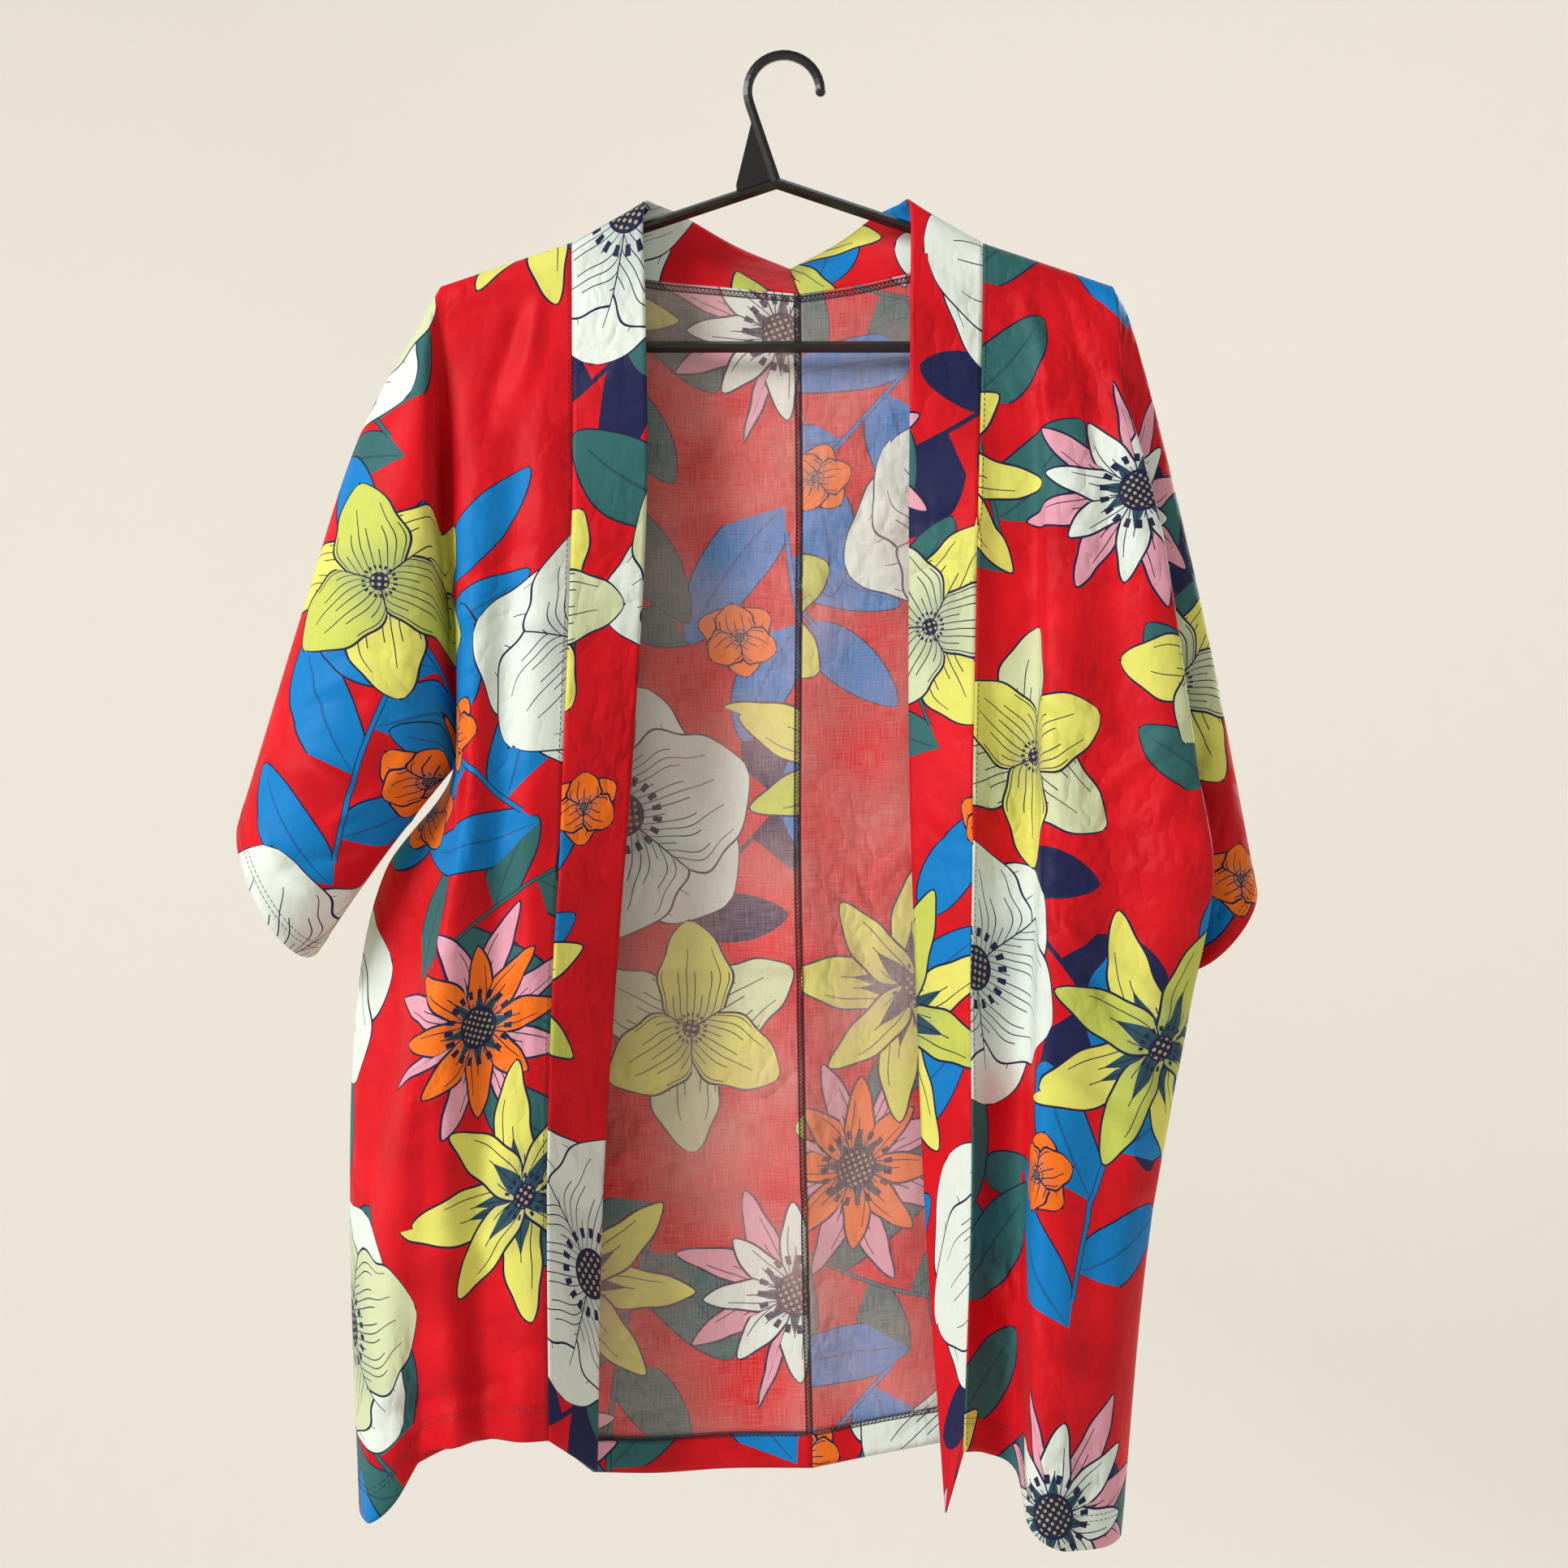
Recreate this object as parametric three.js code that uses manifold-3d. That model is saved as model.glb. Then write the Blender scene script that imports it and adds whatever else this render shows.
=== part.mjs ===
// An open kimono jacket with short cut-on sleeves, hanging on a plastic hanger.
// Millimetres, +Z up, front towards -Y, origin at the inside top of the hook.
import * as THREE from "three";
import { mergeVertices } from "three/addons/utils/BufferGeometryUtils.js";
import Module from "manifold-3d";

const wasm = await Module();
wasm.setup();

const cloth = {
  wall: 1.5,
  bandWall: 2,
  seamGap: 0.3,
  foldRound: 14,
  seatGap: 0.9,
};

const hanger = {
  middleX: -4.5,
  apexTopZ: -72,
  armSlope: 0.335,
  armHalfHeight: 3.6,
  armHalfDepth: 5,
  armRidge: 2.4,
  barZ: -176.5,
  endRadius: 18,
  hookRadius: 22.5,
  tube: 3.3,
  hookEndAngle: 200,
  webThickness: 3,
};

// How far down the cloth each level lies: 0 at the shoulder, 1 at the underarm, 2 at the hem.
const levels = { yoke: 0.15, mid: 0.5, under: 1, flare: 1.14, waist: 1.32, hip: 1.62, hem: 2 };
const armRows = [0, 0.009, 0.035, 0.1, 0.21, 0.35, 0.5, 0.65, 0.79, 0.905, 0.975, 1];
const rowsBelow = 15;
const neckRow = 2;
const levelNames = Object.keys(levels);
const levelKnots = levelNames.map((name) => levels[name]);
const rowLevels = [...armRows];
for (let k = 1; k <= rowsBelow; k += 1) rowLevels.push(1 + k / rowsBelow);

// Each half is given by its fold lines, from the band seam (across 0) to the side (across 1).
// Each level holds the line's [x, y] there, and hemZ is where it ends.
const rightHalf = {
  node: "right_half",
  bandNode: "neck_band_right",
  side: -1,
  neckX: -130,
  tipX: -211,
  underZ: -436,
  grooveDepth: 10,
  front: [
    { fold: "band seam", across: 0, yoke: [-129.7, -11], mid: [-128.8, -24], under: [-134, -32],
      flare: [-136, -34], waist: [-140, -36], hip: [-142.8, -40], hem: [-141.6, -42], hemZ: -841 },
    { fold: "ridge by the seam", across: 0.2, yoke: [-144.6, -11], mid: [-146.5, -30], under: [-152, -38],
      flare: [-154, -41], waist: [-156.5, -45], hip: [-161, -47], hem: [-158.8, -46], hemZ: -841 },
    { fold: "shallow valley", across: 0.4, yoke: [-162, -11], mid: [-165.6, -26], under: [-171, -33],
      flare: [-173.5, -35], waist: [-176.7, -38], hip: [-184, -36], hem: [-180.7, -32], hemZ: -842 },
    { fold: "front ridge", across: 0.57, yoke: [-179.4, -11], mid: [-182, -32], under: [-186, -44],
      flare: [-189, -48], waist: [-194.7, -52], hip: [-204.6, -50], hem: [-198, -44], hemZ: -845 },
    { fold: "forward fold", across: 0.72, yoke: [-191.8, -11], mid: [-194.7, -30], under: [-194.6, -38],
      flare: [-198, -46], waist: [-208.8, -56], hip: [-224, -50], hem: [-218.5, -28], hemZ: -853 },
    { fold: "fold edge", across: 0.82, yoke: [-199.3, -11], mid: [-199.8, -24], under: [-199, -24],
      flare: [-203, -34], waist: [-218.8, -46], hip: [-237.8, -46], hem: [-234.5, -38], hemZ: -879 },
    { fold: "recess", across: 0.91, yoke: [-205.3, -10.5], mid: [-204, -17], under: [-200.5, -12],
      flare: [-222, -12], waist: [-237, -14], hip: [-251.8, -26], hem: [-248.9, -40], hemZ: -891 },
    { fold: "side front", across: 0.96, yoke: [-208, -10], mid: [-207, -13], under: [-201.5, -7],
      flare: [-238, -2], waist: [-256, -4], hip: [-262, -12], hem: [-257, -24], hemZ: -890 },
    { fold: "side seam", across: 1, yoke: [-212, -10], mid: [-210, -10], under: [-203.5, 0],
      flare: [-246, 6], waist: [-264, 8], hip: [-267.5, 3], hem: [-260.5, -8], hemZ: -887 },
  ],
  back: [
    { fold: "below the neck", across: 0, yoke: [-130, 12], mid: [-128, 24], under: [-127, 34],
      flare: [-126, 36], waist: [-124, 38], hip: [-122, 42], hem: [-120, 44], hemZ: -880 },
    { fold: "back ridge", across: 0.25, yoke: [-150, 12], mid: [-150, 29], under: [-152, 42],
      flare: [-153, 45], waist: [-154, 48], hip: [-156, 53], hem: [-156, 57], hemZ: -859 },
    { fold: "back valley", across: 0.5, yoke: [-172, 11], mid: [-174, 24], under: [-176, 30],
      flare: [-180, 32], waist: [-185, 34], hip: [-188, 34], hem: [-188, 36], hemZ: -858 },
    { fold: "side ridge", across: 0.72, yoke: [-190, 11], mid: [-190, 26], under: [-190, 34],
      flare: [-202, 38], waist: [-212, 46], hip: [-216, 50], hem: [-216, 52], hemZ: -868 },
    { fold: "side back", across: 0.88, yoke: [-202, 11], mid: [-201, 18], under: [-198, 18],
      flare: [-228, 26], waist: [-244, 36], hip: [-248, 34], hem: [-243, 30], hemZ: -879 },
    { fold: "seam back", across: 0.96, yoke: [-208, 10], mid: [-207, 13], under: [-201.5, 7],
      flare: [-241, 14], waist: [-258, 20], hip: [-262, 17], hem: [-256, 10], hemZ: -884 },
    { fold: "side seam", across: 1, yoke: [-212, 10], mid: [-210, 10], under: [-203.5, 0],
      flare: [-246, 6], waist: [-264, 8], hip: [-267.5, 3], hem: [-260.5, -8], hemZ: -887 },
  ],
  centre: [
    { fold: "below the neck", across: 0 },
    { fold: "outer back", across: 0.33, top: [-84, 12.5, -133], yoke: [-84, 13], mid: [-84, 20],
      under: [-83, 30], flare: [-83, 33], waist: [-82, 36], hip: [-80, 40], hem: [-80, 42], hemZ: -880 },
    { fold: "inner back", across: 0.67, top: [-38, 16, -137], yoke: [-38, 17], mid: [-37, 26],
      under: [-36, 38], flare: [-36, 40], waist: [-35, 42], hip: [-34, 46], hem: [-34, 46], hemZ: -878 },
    { fold: "centre back", across: 1, top: [9.6, 18, -141], yoke: [10, 18], mid: [11, 24], under: [10, 32],
      flare: [10, 34], waist: [11.5, 35], hip: [14, 38], hem: [18, 38], hemZ: -876 },
  ],
  sleeve: [
    { ring: "roll", reach: 0.1, top: [-221, 0, -157], seam: [-209, -5, -443], front: 38, back: 22, slant: 0 },
    { ring: "upper", reach: 0.36, top: [-261, 3, -231], seam: [-232, -13, -473],
      front: 46, back: 28, slant: 0 },
    { ring: "lower", reach: 0.68, top: [-294, 4, -335], seam: [-262, -17, -514],
      front: 46, back: 36, slant: 4 },
    { ring: "cuff", reach: 1, top: [-331, 5, -463], seam: [-288, -14, -551], front: 44, back: 42, slant: 11 },
  ],
  // The band's free edge: the point on the seam it faces, and where it lies.
  band: [
    { at: "hem", row: 2, edge: [-114.2, -15, -866] },
    { at: "hip", row: 1.62, edge: [-111.7, -6, -704] },
    { at: "waist", row: 1.32, edge: [-103.4, -9, -569] },
    { at: "under", row: 1, edge: [-93, -11, -432] },
    { at: "mid", row: 0.5, edge: [-83.6, -18, -268] },
    { at: "yoke", row: 0.15, edge: [-84.6, -18, -152] },
    { at: "shoulder", row: 0, edge: [-86, -4, -89] },
    { at: "nape", row: -0.035, edge: [-79, 10, -87] },
  ],
  bandNeck: [
    { across: 0.33, edge: [-63, 27, -91] },
    { across: 0.67, edge: [-30, 44, -107] },
    { across: 1, edge: [4, 57, -119] },
  ],
};

const leftHalf = {
  node: "left_half",
  bandNode: "neck_band_left",
  side: 1,
  neckX: 122,
  tipX: 202,
  underZ: -436,
  grooveDepth: 10,
  front: [
    { fold: "band seam", across: 0, yoke: [121.3, -11], mid: [118, -24], under: [114.4, -32],
      flare: [113.8, -34], waist: [112.7, -36], hip: [113, -38], hem: [108.3, -36], hemZ: -849 },
    { fold: "recess", across: 0.14, yoke: [131.5, -11], mid: [132.5, -19], under: [131.5, -21],
      flare: [130.4, -22], waist: [129.4, -22], hip: [129.4, -23], hem: [123, -22], hemZ: -853 },
    { fold: "recess edge", across: 0.28, yoke: [150, -11], mid: [154, -20], under: [152.2, -22],
      flare: [151, -23], waist: [149, -24], hip: [146, -25], hem: [141.4, -20], hemZ: -864 },
    { fold: "forward edge", across: 0.38, yoke: [159, -11], mid: [159, -34], under: [156, -46],
      flare: [154.7, -49], waist: [152.4, -53], hip: [148.6, -57], hem: [146, -58], hemZ: -888 },
    { fold: "front ridge", across: 0.52, yoke: [171, -11], mid: [174.4, -38], under: [172, -51],
      flare: [171, -55], waist: [169, -59], hip: [163.7, -64], hem: [161, -66], hemZ: -900 },
    { fold: "front valley", across: 0.66, yoke: [184, -11], mid: [194.5, -34], under: [200, -44],
      flare: [199, -48], waist: [196, -52], hip: [183.6, -56], hem: [178.8, -56], hemZ: -903 },
    { fold: "outer ridge", across: 0.8, yoke: [195.5, -11], mid: [215, -39], under: [229, -53],
      flare: [234, -56], waist: [223, -54], hip: [203.7, -50], hem: [194.6, -46], hemZ: -903 },
    { fold: "ridge edge", across: 0.88, yoke: [201, -11], mid: [227, -34], under: [249, -45],
      flare: [258, -46], waist: [243.6, -38], hip: [220, -30], hem: [204.3, -26], hemZ: -902 },
    { fold: "return", across: 0.95, yoke: [204, -10.5], mid: [217, -22], under: [234, -30],
      flare: [239, -31], waist: [240, -14], hip: [220, -5], hem: [205, -5], hemZ: -900 },
    { fold: "side seam", across: 1, yoke: [206, -10], mid: [207, -10], under: [212, 0],
      flare: [222, 6], waist: [232, 14], hip: [214, 18], hem: [202, 10], hemZ: -899 },
  ],
  back: [
    { fold: "below the neck", across: 0, yoke: [121, 12], mid: [120, 24], under: [119, 34],
      flare: [118.5, 36], waist: [118, 38], hip: [116, 40], hem: [112, 40], hemZ: -858 },
    { fold: "back ridge", across: 0.25, yoke: [141, 12], mid: [146, 28], under: [150, 43],
      flare: [152, 47], waist: [150, 51], hip: [146, 53], hem: [140, 51], hemZ: -862 },
    { fold: "back valley", across: 0.5, yoke: [163, 11], mid: [172, 24], under: [178, 34],
      flare: [182, 38], waist: [180, 42], hip: [170, 42], hem: [162, 40], hemZ: -870 },
    { fold: "side ridge", across: 0.72, yoke: [183, 11], mid: [190, 29], under: [198, 43],
      flare: [204, 50], waist: [206, 56], hip: [194, 55], hem: [184, 50], hemZ: -882 },
    { fold: "side back", across: 0.88, yoke: [197, 11], mid: [201, 22], under: [208, 24],
      flare: [218, 32], waist: [226, 44], hip: [209, 44], hem: [199, 36], hemZ: -892 },
    { fold: "seam back", across: 0.96, yoke: [203, 10], mid: [205, 13], under: [211, 8],
      flare: [221, 16], waist: [232, 26], hip: [214, 29], hem: [203, 21], hemZ: -897 },
    { fold: "side seam", across: 1, yoke: [206, 10], mid: [207, 10], under: [212, 0],
      flare: [222, 6], waist: [232, 14], hip: [214, 18], hem: [202, 10], hemZ: -899 },
  ],
  centre: [
    { fold: "below the neck", across: 0 },
    { fold: "outer back", across: 0.33, top: [80, 12, -129], yoke: [82, 13], mid: [82, 21], under: [82, 31],
      flare: [81, 34], waist: [80, 37], hip: [78, 40], hem: [74, 40], hemZ: -865 },
    { fold: "inner back", across: 0.67, top: [45, 15.5, -136], yoke: [46, 17], mid: [46, 25], under: [46, 36],
      flare: [46, 38], waist: [46, 41], hip: [46, 44], hem: [46, 42], hemZ: -871 },
    { fold: "centre back", across: 1, top: [9.6, 18, -141], yoke: [10, 18], mid: [11, 24], under: [10, 32],
      flare: [10, 34], waist: [11.5, 35], hip: [14, 38], hem: [18, 38], hemZ: -876 },
  ],
  sleeve: [
    { ring: "roll", reach: 0.1, top: [213, 2, -160], seam: [215, 5, -447], front: 12, back: 26, slant: 0 },
    { ring: "upper", reach: 0.36, top: [237, 5, -247], seam: [223, 8, -480], front: 15, back: 36, slant: 0 },
    { ring: "lower", reach: 0.68, top: [265, 8, -370], seam: [232, 8, -520], front: 20, back: 44, slant: 2 },
    { ring: "cuff", reach: 1, top: [289, 10, -505], seam: [244, 5, -560], front: 34, back: 52, slant: 11 },
  ],
  band: [
    { at: "hem", row: 2, edge: [98.5, -20, -890] },
    { at: "hip", row: 1.62, edge: [87, -4, -709] },
    { at: "waist", row: 1.32, edge: [81.5, -4, -572] },
    { at: "under", row: 1, edge: [77.2, -6, -440] },
    { at: "mid", row: 0.5, edge: [76.6, -12, -275] },
    { at: "yoke", row: 0.15, edge: [77, -17, -154] },
    { at: "shoulder", row: 0, edge: [77, -4, -88] },
    { at: "nape", row: -0.035, edge: [71, 10, -87] },
  ],
  bandNeck: [
    { across: 0.33, edge: [57, 27, -91] },
    { across: 0.67, edge: [34, 44, -105] },
    { across: 1, edge: [4, 57, -119] },
  ],
};

const clothColour = 0xe11423;
const bandColour = 0xd01020;
const hangerColour = 0x151617;

// A smooth run of values through knots, evaluated at t.
function through(knots, values, t) {
  const last = knots.length - 1;
  let k = 0;
  while (k < last - 1 && t > knots[k + 1]) k += 1;
  const slope = (n) => {
    const from = Math.max(0, n - 1);
    const to = Math.min(last, n + 1);
    return (values[to] - values[from]) / (knots[to] - knots[from]);
  };
  const span = knots[k + 1] - knots[k];
  const s = (t - knots[k]) / span;
  const square = s * s;
  const cube = square * s;
  return (2 * cube - 3 * square + 1) * values[k] + (cube - 2 * square + s) * span * slope(k)
    + (3 * square - 2 * cube) * values[k + 1] + (cube - square) * span * slope(k + 1);
}

function throughPoints(knots, points, t) {
  return new THREE.Vector3(
    through(knots, points.map((p) => p.x), t),
    through(knots, points.map((p) => p.y), t),
    through(knots, points.map((p) => p.z), t),
  );
}

const armTopZ = (x) => hanger.apexTopZ - hanger.armSlope * Math.abs(x - hanger.middleX);
const shoulderZ = (x) => armTopZ(x) + cloth.seatGap + cloth.wall / 2;

// How far the cloth has turned from the shoulder fold to its full depth.
function turned(distance) {
  const left = Math.max(0, 1 - distance / cloth.foldRound);
  return Math.sqrt(1 - left * left);
}

// A point on one fold line at a level, with its top on the shoulder fold.
function onLine(half, line, row) {
  const topX = half.neckX + (half.tipX - half.neckX) * line.across;
  const topZ = shoulderZ(topX);
  const knots = [0, ...levelKnots];
  const xs = [topX, ...levelNames.map((name) => line[name][0])];
  const ys = [line.yoke[1], ...levelNames.map((name) => line[name][1])];
  const z = row <= 1
    ? topZ + (half.underZ - topZ) * row
    : half.underZ + (line.hemZ - half.underZ) * (row - 1);
  const x = through(knots, xs, row);
  if (line.fold === "side seam" && row <= 1) {
    const depth = half.grooveDepth * turned(topZ - z) * turned(z - half.underZ);
    return new THREE.Vector3(x, Math.sign(line.yoke[1]) * depth, z);
  }
  return new THREE.Vector3(x, through(knots, ys, row) * turned(topZ - z), z);
}

// The same on the middle of the back, whose lines start at the neck seam.
function onCentreLine(half, line, row) {
  if (line.across === 0) return onLine(half, half.back[0], row);
  const start = rowLevels[neckRow];
  const knots = [start, ...levelKnots];
  const x = through(knots, [line.top[0], ...levelNames.map((name) => line[name][0])], row);
  const y = through(knots, [line.top[1], ...levelNames.map((name) => line[name][1])], row);
  const z = row <= 1
    ? line.top[2] + (half.underZ - line.top[2]) * ((row - start) / (1 - start))
    : half.underZ + (line.hemZ - half.underZ) * (row - 1);
  return new THREE.Vector3(x, y, z);
}

const middles = (knots) => knots.flatMap((k, n) => (n ? [(knots[n - 1] + k) / 2, k] : [k]));

function bodySheet(half, lines, acrossList) {
  const knots = lines.map((line) => line.across);
  return rowLevels.map((row) => {
    const points = lines.map((line) => onLine(half, line, row));
    return acrossList.map((across) => throughPoints(knots, points, across));
  });
}

function centreSheet(half) {
  const knots = half.centre.map((line) => line.across);
  return rowLevels.slice(neckRow).map((row) => {
    const points = half.centre.map((line) => onCentreLine(half, line, row));
    return middles(knots).map((across) => throughPoints(knots, points, across));
  });
}

// A sleeve ring is an oval from the top fold round to the underarm seam and back.
function onRing(ring, share, facing) {
  const top = new THREE.Vector3(...ring.top);
  const seam = new THREE.Vector3(...ring.seam);
  const bulge = Math.sqrt(Math.max(0, 1 - (2 * share - 1) ** 2));
  const depth = facing < 0 ? ring.front : ring.back;
  const point = top.clone().lerp(seam, share);
  const outward = new THREE.Vector3(seam.z - top.z, 0, top.x - seam.x).normalize();
  if (outward.z > 0) outward.negate();
  point.addScaledVector(outward, -facing * ring.slant * bulge);
  point.y += facing * depth * bulge;
  return point;
}

function sleeveSheet(half, body, facing) {
  const knots = [0, ...half.sleeve.map((ring) => ring.reach)];
  return armRows.map((share, j) => {
    const groove = body[j][body[j].length - 1];
    const points = [groove, ...half.sleeve.map((ring) => onRing(ring, share, facing))];
    return middles(knots).map((reach) => (reach === 0 ? groove : throughPoints(knots, points, reach)));
  });
}

// The band runs up the front edge, over the shoulder and along the neck to the centre back.
function bandSheet(half, front, back, centre) {
  const seam = [];
  const edgeAt = [];
  for (let j = rowLevels.length - 1; j >= 0; j -= 1) {
    seam.push(front[j][0]);
    edgeAt.push(-rowLevels[j]);
  }
  for (let j = 1; j <= neckRow; j += 1) {
    seam.push(back[j][0]);
    edgeAt.push(rowLevels[j]);
  }
  const neckKnots = middles(half.centre.map((line) => line.across));
  for (let c = 1; c < centre[0].length; c += 1) {
    seam.push(centre[0][c]);
    edgeAt.push(rowLevels[neckRow] + neckKnots[c]);
  }
  const stations = [
    ...half.band.map((s) => ({ at: -s.row, edge: s.edge })),
    ...half.bandNeck.map((s) => ({ at: rowLevels[neckRow] + s.across, edge: s.edge })),
  ];
  const knots = stations.map((s) => s.at);
  const edges = stations.map((s) => new THREE.Vector3(...s.edge));
  return seam.map((point, n) => {
    const edge = throughPoints(knots, edges, edgeAt[n]);
    return [0, 1 / 3, 2 / 3, 1].map((share) => (share === 0 ? point : point.clone().lerp(edge, share)));
  });
}

// Points that meet get one key; the small shift keeps round sizes off the rounding edge.
const keyShift = 0.000137;
const keyOf = (p) => p.toArray().map((v) => (v + keyShift).toFixed(3)).join();
const clothPoints = new Map();
const clothFaces = [];

function pointOf(p) {
  const key = keyOf(p);
  if (!clothPoints.has(key)) clothPoints.set(key, { at: p.clone(), normal: new THREE.Vector3() });
  return clothPoints.get(key);
}

// Adds one grid of cloth to a node; its outside faces the way that flip says.
function addSheet(node, rows, flip) {
  for (let j = 0; j + 1 < rows.length; j += 1) {
    for (let i = 0; i + 1 < rows[j].length; i += 1) {
      const corners = [rows[j][i], rows[j + 1][i], rows[j + 1][i + 1], rows[j][i + 1]].map(pointOf);
      if (flip) corners.reverse();
      const across = corners[2].at.clone().sub(corners[0].at);
      const down = corners[3].at.clone().sub(corners[1].at);
      const normal = across.cross(down);
      corners.forEach((corner) => corner.normal.add(normal));
      clothFaces.push({ node, corners });
    }
  }
}

// A closed wall round one node's sheet, its seam edges pulled back from the next piece.
function wallOf(node, wall) {
  const own = clothFaces.filter((face) => face.node === node);
  const others = new Set(clothFaces.filter((face) => face.node !== node).flatMap((face) => face.corners));
  const index = new Map();
  const centres = new Map();
  own.forEach((face) => {
    const middle = new THREE.Vector3();
    face.corners.forEach((corner) => middle.addScaledVector(corner.at, 1 / 4));
    face.corners.forEach((corner) => {
      if (!index.has(corner)) index.set(corner, index.size);
      if (!centres.has(corner)) centres.set(corner, new THREE.Vector3());
      centres.get(corner).add(middle.clone().sub(corner.at));
    });
  });
  const count = index.size;
  const positions = new Float32Array(count * 6);
  index.forEach((n, corner) => {
    const normal = corner.normal.clone().normalize();
    const at = corner.at.clone();
    if (others.has(corner)) {
      const inward = centres.get(corner).clone();
      inward.addScaledVector(normal, -inward.dot(normal)).normalize();
      at.addScaledVector(inward, cloth.seamGap / 2);
    }
    at.clone().addScaledVector(normal, wall / 2).toArray(positions, n * 3);
    at.clone().addScaledVector(normal, -wall / 2).toArray(positions, (count + n) * 3);
  });
  const triangles = [];
  const edges = new Map();
  own.forEach((face) => {
    const [a, b, c, d] = face.corners.map((corner) => index.get(corner));
    triangles.push(a, b, c, a, c, d);
    triangles.push(count + a, count + c, count + b, count + a, count + d, count + c);
    [[a, b], [b, c], [c, d], [d, a]].forEach(([from, to]) => {
      if (edges.has(`${to}/${from}`)) edges.delete(`${to}/${from}`);
      else edges.set(`${from}/${to}`, [from, to]);
    });
  });
  edges.forEach(([from, to]) => {
    triangles.push(to, from, count + from, to, count + from, count + to);
  });
  const geometry = new THREE.BufferGeometry();
  geometry.setAttribute("position", new THREE.BufferAttribute(positions, 3));
  geometry.setIndex(triangles);
  return geometry;
}

function solidOf(geometry) {
  geometry.deleteAttribute("normal");
  geometry.deleteAttribute("uv");
  const welded = mergeVertices(geometry, 1e-4);
  const mesh = new wasm.Mesh({
    numProp: 3,
    vertProperties: new Float32Array(welded.attributes.position.array),
    triVerts: new Uint32Array(welded.index.array),
  });
  return new wasm.Manifold(mesh);
}

function geometryOf(solid) {
  const mesh = solid.getMesh();
  const geometry = new THREE.BufferGeometry();
  geometry.setAttribute("position", new THREE.BufferAttribute(new Float32Array(mesh.vertProperties), 3));
  geometry.setIndex(new THREE.BufferAttribute(new Uint32Array(mesh.triVerts), 1));
  return geometry;
}

const flat = (x, z) => new THREE.Vector3(x, 0, z);

// A bar of the given outline along a path in the XZ plane; the outline's x lies along Y.
function barAlong(outline, points, steps) {
  const path = new THREE.CurvePath();
  for (let k = 1; k < points.length; k += 1) path.add(new THREE.LineCurve3(points[k - 1], points[k]));
  return solidOf(new THREE.ExtrudeGeometry(outline, { extrudePath: path, steps, curveSegments: 3 }));
}

function arcPoints(centreX, centreZ, radius, fromAngle, toAngle, steps) {
  const points = [];
  for (let k = 0; k <= steps; k += 1) {
    const angle = fromAngle + (k / steps) * (toAngle - fromAngle);
    points.push(flat(centreX + radius * Math.cos(angle), centreZ + radius * Math.sin(angle)));
  }
  return points;
}

// One arm, its round end and half of the bar, on the side given.
function hangerFrame(side) {
  const lean = Math.atan(hanger.armSlope);
  const armZ = hanger.apexTopZ - hanger.armHalfHeight;
  const meetX = (armZ - hanger.barZ) / hanger.armSlope;
  const endX = meetX - hanger.endRadius / Math.tan(lean / 2);
  const past = 1;
  const roundZ = hanger.barZ + hanger.endRadius;
  const arc = arcPoints(endX, roundZ, hanger.endRadius, Math.PI / 2 - lean, -Math.PI / 2, 9);
  const half = [flat(-past, armZ + past * hanger.armSlope), ...arc, flat(-past, hanger.barZ)];
  const points = half.map((p) => flat(hanger.middleX + side * p.x, p.z));
  const high = hanger.armHalfHeight;
  const deep = hanger.armHalfDepth;
  const shoulder = high - hanger.armRidge;
  const outline = new THREE.Shape();
  outline.moveTo(0, high);
  outline.lineTo(deep, shoulder);
  outline.lineTo(deep, -shoulder);
  outline.lineTo(0, -high);
  outline.lineTo(-deep, -shoulder);
  outline.lineTo(-deep, shoulder);
  outline.closePath();
  const steps = 60;
  return barAlong(outline, points, steps);
}

// The hook's round bar, from its rounded tip over the top and down to the apex.
function hangerHook() {
  const centreZ = hanger.tube - hanger.hookRadius;
  const endAngle = THREE.MathUtils.degToRad(hanger.hookEndAngle);
  const arc = arcPoints(0, centreZ, hanger.hookRadius, 0, endAngle, 24);
  const apex = flat(hanger.middleX, hanger.apexTopZ - hanger.armHalfHeight);
  const outline = new THREE.Shape().absarc(0, 0, hanger.tube, 0, Math.PI * 2);
  const bar = barAlong(outline, [...arc, apex], 32);
  const tip = new THREE.SphereGeometry(hanger.tube, 12, 8);
  tip.translate(hanger.hookRadius, 0, centreZ);
  return bar.add(solidOf(tip));
}

// The flat web beside the stem, down to the left arm.
function hangerWeb() {
  const outline = new THREE.Shape();
  outline.moveTo(-20, -38);
  outline.lineTo(-14, -40);
  outline.lineTo(-5, -72);
  outline.lineTo(-7, -75);
  outline.lineTo(-29, -82);
  outline.lineTo(-29.5, -77);
  outline.closePath();
  const web = new THREE.ExtrudeGeometry(outline, { depth: hanger.webThickness, bevelEnabled: false });
  web.rotateX(Math.PI / 2);
  web.translate(0, hanger.webThickness / 2, 0);
  return solidOf(web);
}

function named(name, geometry, colour, roughness) {
  const material = new THREE.MeshStandardMaterial({ color: colour, roughness, metalness: 0 });
  const mesh = new THREE.Mesh(geometry, material);
  mesh.name = name;
  return mesh;
}

const kimono = new THREE.Group();

for (const half of [rightHalf, leftHalf]) {
  const acrossList = middles(half.front.map((line) => line.across));
  const front = bodySheet(half, half.front, acrossList);
  const back = bodySheet(half, half.back, acrossList);
  const centre = centreSheet(half);
  const mirrored = half.side > 0;
  addSheet(half.node, front, !mirrored);
  addSheet(half.node, back, mirrored);
  addSheet(half.node, sleeveSheet(half, front, -1), !mirrored);
  addSheet(half.node, sleeveSheet(half, back, 1), mirrored);
  addSheet(half.node, centre, !mirrored);
  addSheet(half.bandNode, bandSheet(half, front, back, centre), !mirrored);
}

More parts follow.
